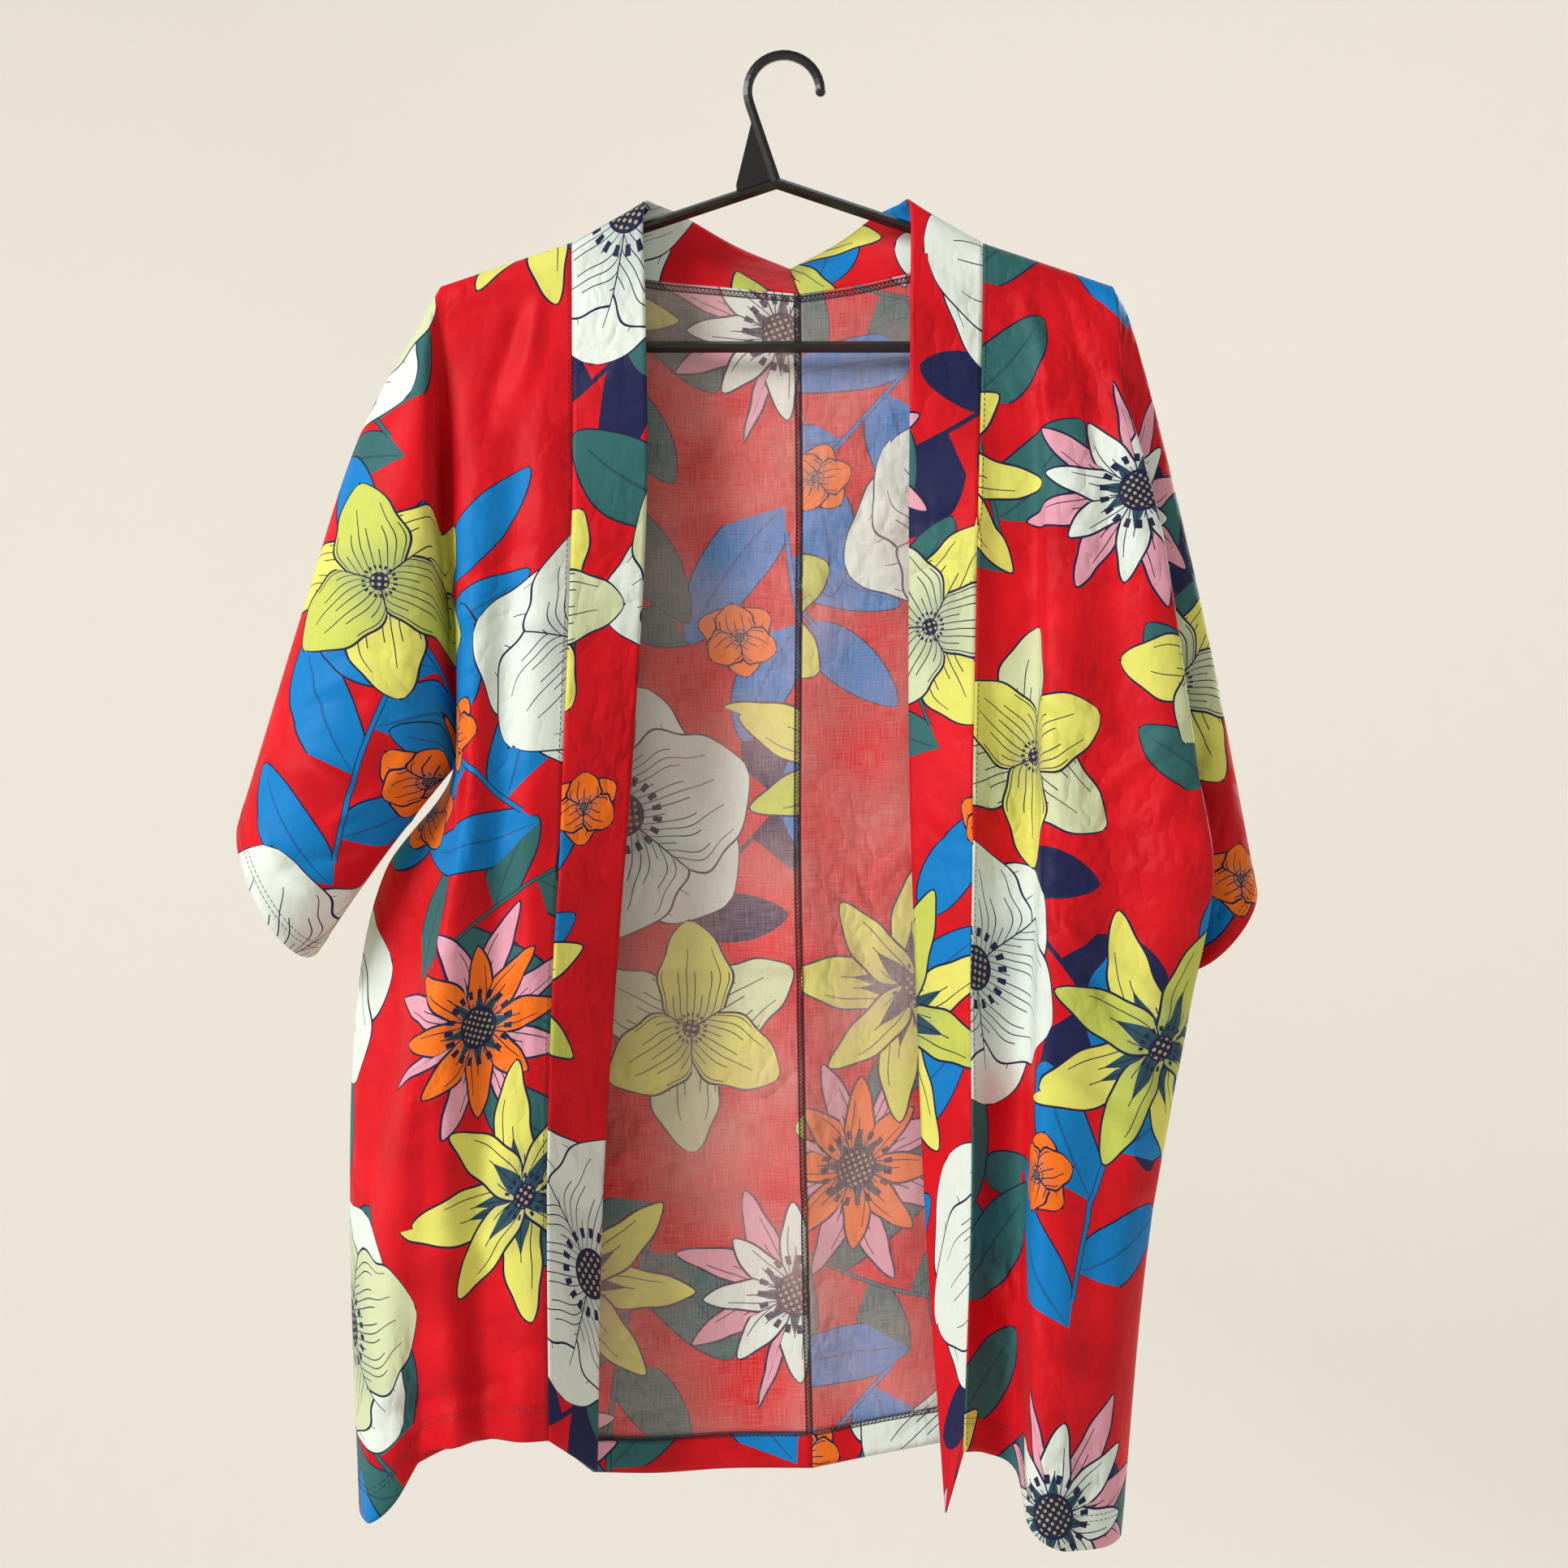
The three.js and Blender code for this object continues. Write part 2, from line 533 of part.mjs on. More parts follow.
for (const half of [rightHalf, leftHalf]) {
  kimono.add(named(half.node, wallOf(half.node, cloth.wall), clothColour, 0.8));
  kimono.add(named(half.bandNode, wallOf(half.bandNode, cloth.bandWall), bandColour, 0.8));
}

const frame = hangerFrame(-1).add(hangerFrame(1)).add(hangerHook()).add(hangerWeb());
kimono.add(named("hanger", geometryOf(frame), hangerColour, 0.45));

export default kimono;
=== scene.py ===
# Open kimono jacket with short sleeves on a plastic hanger
# sizes in the tables are millimetres in the frame, mm turns them into metres
import math
import bpy
import numpy as np
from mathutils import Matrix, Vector


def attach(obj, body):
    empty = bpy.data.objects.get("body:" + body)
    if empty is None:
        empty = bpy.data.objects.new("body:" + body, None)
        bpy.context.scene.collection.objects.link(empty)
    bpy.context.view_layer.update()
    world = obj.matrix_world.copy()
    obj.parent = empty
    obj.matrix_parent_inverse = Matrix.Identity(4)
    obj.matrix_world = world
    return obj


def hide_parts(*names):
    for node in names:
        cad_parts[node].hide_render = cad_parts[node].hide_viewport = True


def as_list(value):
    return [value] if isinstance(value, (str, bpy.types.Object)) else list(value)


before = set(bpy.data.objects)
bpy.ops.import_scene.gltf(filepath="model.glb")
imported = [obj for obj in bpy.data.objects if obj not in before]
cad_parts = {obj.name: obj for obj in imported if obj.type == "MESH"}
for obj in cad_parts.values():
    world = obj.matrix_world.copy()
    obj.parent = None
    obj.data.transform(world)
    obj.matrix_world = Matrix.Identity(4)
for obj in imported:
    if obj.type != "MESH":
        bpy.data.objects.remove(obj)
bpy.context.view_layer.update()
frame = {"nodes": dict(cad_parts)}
mm = 0.001
print("frame loaded:", ", ".join(frame["nodes"]))

# how far down the cloth each level lies: 0 shoulder, 1 underarm, 2 hem
levels = {"yoke": 0.15, "mid": 0.5, "under": 1.0, "flare": 1.14, "waist": 1.32, "hip": 1.62, "hem": 2.0}
neckRow = 0.035      # where the back of the neck is cut, on the same scale

def rowsOf(columns, rows):
    # a table's rows as dictionaries, with a name for each column
    return [dict(zip(columns, row)) for row in rows]


# a fold line: how far across it lies, its (x, y) at each level, and the height where it ends
foldColumns = ("fold", "across", "yoke", "mid", "under", "flare", "waist", "hip", "hem", "hemZ")
centreColumns = ("fold", "across", "top") + foldColumns[2:]
ringColumns = ("ring", "reach", "top", "seam", "front", "back", "slant")
edgeColumns = ("at", "row", "edge")      # the band's free edge: the row it faces, and where it lies
neckColumns = ("across", "edge")

rightHalf = {
    "side": -1,
    "neckX": -130,
    "tipX": -211,
    "underZ": -436,
    "grooveDepth": 10,
    "front": rowsOf(foldColumns, [
        ("band seam", 0, (-129.7, -11), (-128.8, -24), (-134, -32), (-136, -34), (-140, -36),
         (-142.8, -40), (-141.6, -42), -841),
        ("ridge by the seam", 0.2, (-144.6, -11), (-146.5, -30), (-152, -38), (-154, -41),
         (-156.5, -45), (-161, -47), (-158.8, -46), -841),
        ("shallow valley", 0.4, (-162, -11), (-165.6, -26), (-171, -33), (-173.5, -35), (-176.7, -38),
         (-184, -36), (-180.7, -32), -842),
        ("front ridge", 0.57, (-179.4, -11), (-182, -32), (-186, -44), (-189, -48), (-194.7, -52),
         (-204.6, -50), (-198, -44), -845),
        ("forward fold", 0.72, (-191.8, -11), (-194.7, -30), (-194.6, -38), (-198, -46),
         (-208.8, -56), (-224, -50), (-218.5, -28), -853),
        ("fold edge", 0.82, (-199.3, -11), (-199.8, -24), (-199, -24), (-203, -34), (-218.8, -46),
         (-237.8, -46), (-234.5, -38), -879),
        ("recess", 0.91, (-205.3, -10.5), (-204, -17), (-200.5, -12), (-222, -12), (-237, -14),
         (-251.8, -26), (-248.9, -40), -891),
        ("side front", 0.96, (-208, -10), (-207, -13), (-201.5, -7), (-238, -2), (-256, -4),
         (-262, -12), (-257, -24), -890),
        ("side seam", 1, (-212, -10), (-210, -10), (-203.5, 0), (-246, 6), (-264, 8), (-267.5, 3),
         (-260.5, -8), -887),
    ]),
    "back": rowsOf(foldColumns, [
        ("below the neck", 0, (-130, 12), (-128, 24), (-127, 34), (-126, 36), (-124, 38), (-122, 42),
         (-120, 44), -880),
        ("back ridge", 0.25, (-150, 12), (-150, 29), (-152, 42), (-153, 45), (-154, 48), (-156, 53),
         (-156, 57), -859),
        ("back valley", 0.5, (-172, 11), (-174, 24), (-176, 30), (-180, 32), (-185, 34), (-188, 34),
         (-188, 36), -858),
        ("side ridge", 0.72, (-190, 11), (-190, 26), (-190, 34), (-202, 38), (-212, 46), (-216, 50),
         (-216, 52), -868),
        ("side back", 0.88, (-202, 11), (-201, 18), (-198, 18), (-228, 26), (-244, 36), (-248, 34),
         (-243, 30), -879),
        ("seam back", 0.96, (-208, 10), (-207, 13), (-201.5, 7), (-241, 14), (-258, 20), (-262, 17),
         (-256, 10), -884),
        ("side seam", 1, (-212, 10), (-210, 10), (-203.5, 0), (-246, 6), (-264, 8), (-267.5, 3),
         (-260.5, -8), -887),
    ]),
    "centre": rowsOf(centreColumns, [
        ("below the neck", 0),
        ("outer back", 0.33, (-84, 12.5, -133), (-84, 13), (-84, 20), (-83, 30), (-83, 33), (-82, 36),
         (-80, 40), (-80, 42), -880),
        ("inner back", 0.67, (-38, 16, -137), (-38, 17), (-37, 26), (-36, 38), (-36, 40), (-35, 42),
         (-34, 46), (-34, 46), -878),
        ("centre back", 1, (9.6, 18, -141), (10, 18), (11, 24), (10, 32), (10, 34), (11.5, 35),
         (14, 38), (18, 38), -876),
    ]),
    "sleeve": rowsOf(ringColumns, [
        ("roll", 0.1, (-221, 0, -157), (-209, -5, -443), 38, 22, 0),
        ("upper", 0.36, (-261, 3, -231), (-232, -13, -473), 46, 28, 0),
        ("lower", 0.68, (-294, 4, -335), (-262, -17, -514), 46, 36, 4),
        ("cuff", 1, (-331, 5, -463), (-288, -14, -551), 44, 42, 11),
    ]),
    "band": rowsOf(edgeColumns, [
        ("hem", 2, (-114.2, -15, -866)),
        ("hip", 1.62, (-111.7, -6, -704)),
        ("waist", 1.32, (-103.4, -9, -569)),
        ("under", 1, (-93, -11, -432)),
        ("mid", 0.5, (-83.6, -18, -268)),
        ("yoke", 0.15, (-84.6, -18, -152)),
        ("shoulder", 0, (-86, -4, -89)),
        ("nape", -0.035, (-79, 10, -87)),
    ]),
    "bandNeck": rowsOf(neckColumns, [
        (0.33, (-63, 27, -91)),
        (0.67, (-30, 44, -107)),
        (1, (4, 57, -119)),
    ]),
}

leftHalf = {
    "side": 1,
    "neckX": 122,
    "tipX": 202,
    "underZ": -436,
    "grooveDepth": 10,
    "front": rowsOf(foldColumns, [
        ("band seam", 0, (121.3, -11), (118, -24), (114.4, -32), (113.8, -34), (112.7, -36),
         (113, -38), (108.3, -36), -849),
        ("recess", 0.14, (131.5, -11), (132.5, -19), (131.5, -21), (130.4, -22), (129.4, -22),
         (129.4, -23), (123, -22), -853),
        ("recess edge", 0.28, (150, -11), (154, -20), (152.2, -22), (151, -23), (149, -24),
         (146, -25), (141.4, -20), -864),
        ("forward edge", 0.38, (159, -11), (159, -34), (156, -46), (154.7, -49), (152.4, -53),
         (148.6, -57), (146, -58), -888),
        ("front ridge", 0.52, (171, -11), (174.4, -38), (172, -51), (171, -55), (169, -59),
         (163.7, -64), (161, -66), -900),
        ("front valley", 0.66, (184, -11), (194.5, -34), (200, -44), (199, -48), (196, -52),
         (183.6, -56), (178.8, -56), -903),
        ("outer ridge", 0.8, (195.5, -11), (215, -39), (229, -53), (234, -56), (223, -54),
         (203.7, -50), (194.6, -46), -903),
        ("ridge edge", 0.88, (201, -11), (227, -34), (249, -45), (258, -46), (243.6, -38), (220, -30),
         (204.3, -26), -902),
        ("return", 0.95, (204, -10.5), (217, -22), (234, -30), (239, -31), (240, -14), (220, -5),
         (205, -5), -900),
        ("side seam", 1, (206, -10), (207, -10), (212, 0), (222, 6), (232, 14), (214, 18), (202, 10),
         -899),
    ]),
    "back": rowsOf(foldColumns, [
        ("below the neck", 0, (121, 12), (120, 24), (119, 34), (118.5, 36), (118, 38), (116, 40),
         (112, 40), -858),
        ("back ridge", 0.25, (141, 12), (146, 28), (150, 43), (152, 47), (150, 51), (146, 53),
         (140, 51), -862),
        ("back valley", 0.5, (163, 11), (172, 24), (178, 34), (182, 38), (180, 42), (170, 42),
         (162, 40), -870),
        ("side ridge", 0.72, (183, 11), (190, 29), (198, 43), (204, 50), (206, 56), (194, 55),
         (184, 50), -882),
        ("side back", 0.88, (197, 11), (201, 22), (208, 24), (218, 32), (226, 44), (209, 44),
         (199, 36), -892),
        ("seam back", 0.96, (203, 10), (205, 13), (211, 8), (221, 16), (232, 26), (214, 29),
         (203, 21), -897),
        ("side seam", 1, (206, 10), (207, 10), (212, 0), (222, 6), (232, 14), (214, 18), (202, 10),
         -899),
    ]),
    "centre": rowsOf(centreColumns, [
        ("below the neck", 0),
        ("outer back", 0.33, (80, 12, -129), (82, 13), (82, 21), (82, 31), (81, 34), (80, 37),
         (78, 40), (74, 40), -865),
        ("inner back", 0.67, (45, 15.5, -136), (46, 17), (46, 25), (46, 36), (46, 38), (46, 41),
         (46, 44), (46, 42), -871),
        ("centre back", 1, (9.6, 18, -141), (10, 18), (11, 24), (10, 32), (10, 34), (11.5, 35),
         (14, 38), (18, 38), -876),
    ]),
    "sleeve": rowsOf(ringColumns, [
        ("roll", 0.1, (213, 2, -160), (215, 5, -447), 12, 26, 0),
        ("upper", 0.36, (237, 5, -247), (223, 8, -480), 15, 36, 0),
        ("lower", 0.68, (265, 8, -370), (232, 8, -520), 20, 44, 2),
        ("cuff", 1, (289, 10, -505), (244, 5, -560), 34, 52, 11),
    ]),
    "band": rowsOf(edgeColumns, [
        ("hem", 2, (98.5, -20, -890)),
        ("hip", 1.62, (87, -4, -709)),
        ("waist", 1.32, (81.5, -4, -572)),
        ("under", 1, (77.2, -6, -440)),
        ("mid", 0.5, (76.6, -12, -275)),
        ("yoke", 0.15, (77, -17, -154)),
        ("shoulder", 0, (77, -4, -88)),
        ("nape", -0.035, (71, 10, -87)),
    ]),
    "bandNeck": rowsOf(neckColumns, [
        (0.33, (57, 27, -91)),
        (0.67, (34, 44, -105)),
        (1, (4, 57, -119)),
    ]),
}

cloth = {
    "foldRound": 14,        # how soon the cloth reaches its depth below the shoulder fold
    "seat": 1.65,           # shoulder line over the arm's top edge
    "thick": 0.6,
    "bandThick": 1.1,
    "armTop": -72, "armSlope": 0.335, "armMiddle": -4.5,      # the hanger's arms
    "armSteps": 84, "armEase": 0.13,      # rows above the underarm, closer near both ends
    "belowSteps": 118, "foldSteps": 7, "rollSteps": 5, "sleeveSteps": 14, "centreSteps": 13,
    "bandSteps": 16,
}

# what the cloth was cut to, in metres: each half is one length over the shoulder, sleeve and all;
# each band is laid double
cutSizes = {"long": 1.61, "wide": 0.57, "bandLong": 0.92, "bandWide": 0.064}


def through(knots, values, t):
    # smooth run through values at knots; values is (knots, ...), t is a list of places
    knots = np.asarray(knots, float)
    values = np.asarray(values, float)
    t = np.atleast_1d(np.asarray(t, float))
    last = len(knots) - 1
    slopes = np.array([(values[min(last, n + 1)] - values[max(0, n - 1)])
                       / (knots[min(last, n + 1)] - knots[max(0, n - 1)]) for n in range(last + 1)])
    k = np.clip(np.searchsorted(knots, t, side="left") - 1, 0, last - 1)
    span = knots[k + 1] - knots[k]
    s = (t - knots[k]) / span
    wide = (slice(None),) + (None,) * (values.ndim - 1)
    span, s = span[wide], s[wide]
    return ((2 * s**3 - 3 * s**2 + 1) * values[k] + (s**3 - 2 * s**2 + s) * span * slopes[k]
            + (3 * s**2 - 2 * s**3) * values[k + 1] + (s**3 - s**2) * span * slopes[k + 1])


def turned(distance):
    left = np.clip(1 - distance / cloth["foldRound"], 0, 1)
    return np.sqrt(np.clip(1 - left * left, 0, 1))


def shoulderZ(x):
    return cloth["armTop"] - cloth["armSlope"] * abs(x - cloth["armMiddle"]) + cloth["seat"]


def onLine(half, line, rows):
    topX = half["neckX"] + (half["tipX"] - half["neckX"]) * line["across"]
    topZ = shoulderZ(topX)
    knots = [0] + list(levels.values())
    xs = [topX] + [line[name][0] for name in levels]
    ys = [line["yoke"][1]] + [line[name][1] for name in levels]
    under = half["underZ"]
    z = np.where(rows <= 1, topZ + (under - topZ) * rows, under + (line["hemZ"] - under) * (rows - 1))
    x = through(knots, xs, rows)
    y = through(knots, ys, rows) * turned(topZ - z)
    if line["fold"] == "side seam":
        groove = np.sign(line["yoke"][1]) * half["grooveDepth"] * turned(topZ - z) * turned(z - under)
        y = np.where(rows <= 1, groove, y)
    return np.stack([x, y, z], axis=-1)


def onCentreLine(half, line, rows):
    if line["across"] == 0:
        return onLine(half, half["back"][0], rows)
    knots = [neckRow] + list(levels.values())
    x = through(knots, [line["top"][0]] + [line[name][0] for name in levels], rows)
    y = through(knots, [line["top"][1]] + [line[name][1] for name in levels], rows)
    under, top = half["underZ"], line["top"][2]
    z = np.where(rows <= 1, top + (under - top) * (rows - neckRow) / (1 - neckRow),
                 under + (line["hemZ"] - under) * (rows - 1))
    return np.stack([x, y, z], axis=-1)


def finer(knots, steps):
    out = [knots[0]]
    for a, b in zip(knots, knots[1:]):
        out += [a + (b - a) * k / steps for k in range(1, steps + 1)]
    return np.array(out)


def rowPlaces():
    t = np.arange(cloth["armSteps"] + 1) / cloth["armSteps"]
    arm = t - cloth["armEase"] * np.sin(2 * np.pi * t)
    arm[np.argmin(abs(arm - neckRow))] = neckRow
    below = 1 + np.arange(1, cloth["belowSteps"] + 1) / cloth["belowSteps"]
    return arm, np.concatenate([arm, below])


armRows, allRows = rowPlaces()
print("cloth tables read:", len(allRows), "rows down the cloth")
neckIndex = int(np.argmin(abs(allRows - neckRow)))


def acrossSheet(lines, knots, places):
    # lines is (lines, rows, 3), the sheet comes back as (rows, places, 3)
    return np.swapaxes(through(knots, np.stack(lines), places), 0, 1)


def onRing(ring, share, facing):
    top, seam = np.array(ring["top"], float), np.array(ring["seam"], float)
    bulge = np.sqrt(np.clip(1 - (2 * share - 1) ** 2, 0, 1))
    depth = ring["front"] if facing < 0 else ring["back"]
    outward = np.array([seam[2] - top[2], 0, top[0] - seam[0]])
    outward /= np.linalg.norm(outward)
    if outward[2] > 0:
        outward = -outward
    points = top + (seam - top) * share[:, None] - facing * ring["slant"] * bulge[:, None] * outward
    points[:, 1] += facing * depth * bulge
    return points


def sleeveSheet(half, body, facing):
    knots = [0] + [ring["reach"] for ring in half["sleeve"]]
    rings = [body[:len(armRows), -1]] + [onRing(ring, armRows, facing) for ring in half["sleeve"]]
    roll, rest = finer(knots[:2], cloth["rollSteps"]), finer(knots[1:], cloth["sleeveSteps"])
    places = np.concatenate([roll, rest[1:]])
    return acrossSheet(rings, knots, places)


def bandSheet(half, front, back, centre):
    seam = np.concatenate([front[::-1, 0], back[1:neckIndex + 1, 0], centre[0, 1:]])
    neckKnots = finer([line["across"] for line in half["centre"]], cloth["centreSteps"])
    at = np.concatenate([-allRows[::-1], allRows[1:neckIndex + 1], neckRow + neckKnots[1:]])
    knots = [-s["row"] for s in half["band"]] + [neckRow + s["across"] for s in half["bandNeck"]]
    edges = [s["edge"] for s in half["band"]] + [s["edge"] for s in half["bandNeck"]]
    edge = through(knots, edges, at)
    share = np.linspace(0, 1, cloth["bandSteps"] + 1)[None, :, None]
    return seam[:, None] + (edge - seam)[:, None] * share


def lengthAlong(sheet, axis):
    steps = np.linalg.norm(np.diff(sheet, axis=axis), axis=-1)
    zero = np.zeros_like(np.take(steps, [0], axis=axis))
    return np.concatenate([zero, np.cumsum(steps, axis=axis)], axis=axis)


def sleeveFlat(half, sleeve, u, v, facing):
    # unrolled both ways from its middle line, so that the print keeps its shape down the sleeve
    middle = len(armRows) // 2
    flatWay = np.array([half["side"], -facing])
    across = lengthAlong(sleeve, 0)
    across = across - across[middle]
    chord = (sleeve[-1] - sleeve[0])[:, [0, 2]] * flatWay
    chord /= np.linalg.norm(chord, axis=1, keepdims=True)
    steps = np.diff(sleeve[middle], axis=0)
    way = steps[:, [0, 2]] * flatWay
    way *= (np.linalg.norm(steps, axis=1) / np.maximum(np.linalg.norm(way, axis=1), 1e-9))[:, None]
    line = np.concatenate([np.zeros((1, 2)), np.cumsum(way, axis=0)]) + (u[middle], v[middle])
    flat = line + across[..., None] * chord
    fade = np.linspace(1, 0, sleeve.shape[1])[:, None] ** 2
    return flat + (np.stack([u, v], axis=-1) - flat[:, 0])[:, None] * fade


def halfSheets(half):
    # each sheet: its points, its flat place in mm (u outward, v up the front and down the back), flip
    mirrored = half["side"] > 0
    knots = [line["across"] for line in half["front"]]
    places = finer(knots, cloth["foldSteps"])
    front = acrossSheet([onLine(half, line, allRows) for line in half["front"]], knots, places)
    backKnots = [line["across"] for line in half["back"]]
    back = acrossSheet([onLine(half, line, allRows) for line in half["back"]], backKnots, places)
    lowRows = allRows[neckIndex:]
    centreKnots = [line["across"] for line in half["centre"]]
    centre = acrossSheet([onCentreLine(half, line, lowRows) for line in half["centre"]],
                         centreKnots, finer(centreKnots, cloth["centreSteps"]))
    sleeveFront, sleeveBack = sleeveSheet(half, front, -1), sleeveSheet(half, back, 1)
    inner = abs(half["neckX"] - cloth["armMiddle"])
    sheets = []
    for name, sheet, facing in (("front", front, -1), ("back", back, 1)):
        u = inner + lengthAlong(sheet, 1)
        v = facing * lengthAlong(sheet, 0)
        sheets.append({"name": name, "points": sheet, "u": u, "v": v, "flip": mirrored == (facing > 0)})
        sleeve = sleeveFront if facing < 0 else sleeveBack
        flat = sleeveFlat(half, sleeve, u[:len(armRows), -1], v[:len(armRows), -1], facing)
        sheets.append({"name": name + "Sleeve", "points": sleeve, "u": flat[..., 0], "v": flat[..., 1],
                       "flip": mirrored == (facing > 0)})
    cu = inner - lengthAlong(centre, 1)
    cv = lengthAlong(back, 0)[neckIndex:, :1] + 0 * cu
    sheets.append({"name": "centre", "points": centre, "u": cu, "v": cv, "flip": not mirrored})
    band = bandSheet(half, front, back, centre)
    bu = lengthAlong(band, 1)
    bv = lengthAlong(band, 0)[:, :1] + 0 * bu
    bandSheets = [{"name": "band", "points": band, "u": bu, "v": bv, "flip": not mirrored}]
    return sheets, bandSheets


# the print: a repeat of listed motifs, in flat cloth millimetres
printColours = {
    "white": (0.70, 0.77, 0.71), "yellow": (0.72, 0.70, 0.14), "lime": (0.52, 0.58, 0.10),
    "pink": (0.72, 0.33, 0.42), "orange": (0.87, 0.17, 0.01), "teal": (0.028, 0.13, 0.13),
    "blue": (0.0, 0.19, 0.52), "navy": (0.010, 0.014, 0.07), "cream": (0.60, 0.66, 0.40),
}

# petals or leaf pairs, half width of one as a share of its length, length of the inner ring (of a
# leaf on a spray), size of the dark middle (half width of the stalk), pen strokes on a petal
kindColumns = ("kind", "leafy", "count", "wide", "inner", "middle", "strokes")
motifKinds = {row["kind"]: row for row in rowsOf(kindColumns, [
    ("anemone", False, 3, 0.5, 0.93, 0.15, 17),
    ("star", False, 4, 0.155, 0.93, 0.09, 4),
    ("lily", False, 3, 0.29, 0.86, 0.07, 9),
    ("fan", False, 8, 0.125, 0.74, 0.17, 4),
    ("berries", False, 3, 0.44, 0.9, 0.12, 5),
    ("spray", True, 3, 0.235, 0.41, 0.0055, 0),
    ("leaves", True, 2, 0.27, 0.5, 0.006, 0),
])}
repeat = {"wide": 500, "high": 620, "reach": 1.45}      # reach is in motif sizes

# later rows lie over earlier ones, flowers over leaves; second colours a flower's inner ring
motifs = rowsOf(("kind", "x", "y", "size", "turn", "colour", "second"), [
    ("leaves", 175, 150, 150, 205, "navy", "navy"),
    ("leaves", 480, 470, 150, -50, "navy", "navy"),
    ("leaves", 330, 250, 140, 20, "teal", "teal"),
    ("leaves", 120, 560, 140, 100, "teal", "teal"),
    ("spray", 45, 235, 245, 70, "blue", "blue"),
    ("spray", 290, 560, 240, 112, "teal", "teal"),
    ("spray", 250, 300, 225, 64, "blue", "blue"),
    ("spray", 455, 60, 235, 96, "teal", "teal"),
    ("spray", 390, 330, 215, 124, "blue", "blue"),
    ("fan", 45, 105, 82, -70, "pink", "white"),
    ("fan", 365, 205, 76, 25, "pink", "orange"),
    ("anemone", 190, 232, 96, 12, "white", "white"),
    ("anemone", 440, 420, 92, 40, "white", "white"),
    ("anemone", 250, 20, 84, 75, "white", "cream"),
    ("star", 400, 95, 86, 5, "yellow", "yellow"),
    ("star", 90, 385, 92, 22, "yellow", "lime"),
    ("lily", 280, 470, 80, 40, "yellow", "lime"),
    ("lily", 120, 0, 76, 60, "yellow", "cream"),
    ("lily", 480, 555, 80, -30, "cream", "yellow"),
    ("berries", 300, 345, 30, 10, "orange", "orange"),
    ("berries", 335, 390, 26, 50, "orange", "orange"),
    ("berries", 15, 305, 28, 80, "orange", "orange"),
    ("berries", 165, 500, 26, 30, "orange", "orange"),
])
layerNames = {"leafA": True, "leafB": True, "flowerA": False, "flowerB": False}     # True for leaves
outlineRoom = 3.2      # mm round a motif that its outline may need
printValues = ("Place", "Form", "Middle", "Colour", "Second")


# sums that a material works out with nodes, and that Python works out on arrays
class Sums:
    def __add__(self, other):
        return self.do("ADD", other)

    def __sub__(self, other):
        return self.do("SUBTRACT", other)

    def __mul__(self, other):
        return self.do("MULTIPLY", other)

    def __truediv__(self, other):
        return self.do("DIVIDE", other)

    def __pow__(self, other):
        return self.do("POWER", other)

    def below(self, other):
        return self.do("LESS_THAN", other)

    def above(self, other):
        return self.do("GREATER_THAN", other)


class NodeSum(Sums):
    def __init__(self, tree, socket):
        self.tree, self.socket = tree, socket

    def do(self, kind, *others):
        made = self.tree.nodes.new("ShaderNodeMath")
        made.operation = kind
        for slot, value in zip(made.inputs, (self,) + others):
            if isinstance(value, NodeSum):
                self.tree.links.new(value.socket, slot)
            else:
                slot.default_value = value
        return NodeSum(self.tree, made.outputs[0])


arraySums = {
    "ADD": np.add, "SUBTRACT": np.subtract, "MULTIPLY": np.multiply, "DIVIDE": np.divide,
    "POWER": np.power, "MINIMUM": np.minimum, "MAXIMUM": np.maximum, "SINE": np.sin, "COSINE": np.cos,
    "ABSOLUTE": np.abs, "ROUND": np.round, "FLOOR": np.floor, "SIGN": np.sign, "SQRT": np.sqrt,
    "ARCTAN2": np.arctan2, "LESS_THAN": np.less, "GREATER_THAN": np.greater,
}


class ArraySum(Sums):
    def __init__(self, values):
        self.values = values

    def do(self, kind, *others):
        values = [value.values if isinstance(value, ArraySum) else value for value in others]
        return ArraySum(arraySums[kind](self.values, *values) * 1.0)


def least(a, b):
    return a.do("MINIMUM", b)


def most(a, b):
    return a.do("MAXIMUM", b)


def held(a, low=0.0, high=1.0):
    return most(a, low).do("MINIMUM", high)


petal = {
    "taper": 0.8, "round": 0.6, "waves": 19.0, "waveDepth": 0.05, "uneven": 0.06, "bend": 0.25,
    "dotRing": (1.4, 1.8), "dots": 19.0, "seeds": 95.0, "seedDisc": 0.85,
}
leaf = {
    "stalk": 0.92, "tipAt": 0.9, "tipLong": 0.8, "bow": 0.28, "stagger": 0.22, "open": 0.84, "closing": 0.10,
    "bend": 0.55, "waves": 23.0, "waveDepth": 0.03, "uneven": 0.12,
}


def petalEdge(along, across, long, wide, wave):
    # signed distance to a petal's edge as a share of its motif, and how far along and across it is
    t = held(along / long)
    width = most(((t ** petal["taper"]) * math.pi).do("SINE") ** petal["round"] * wide * wave, 0.0001)
    return most(across.do("ABSOLUTE") - width, along - long), t, across / width


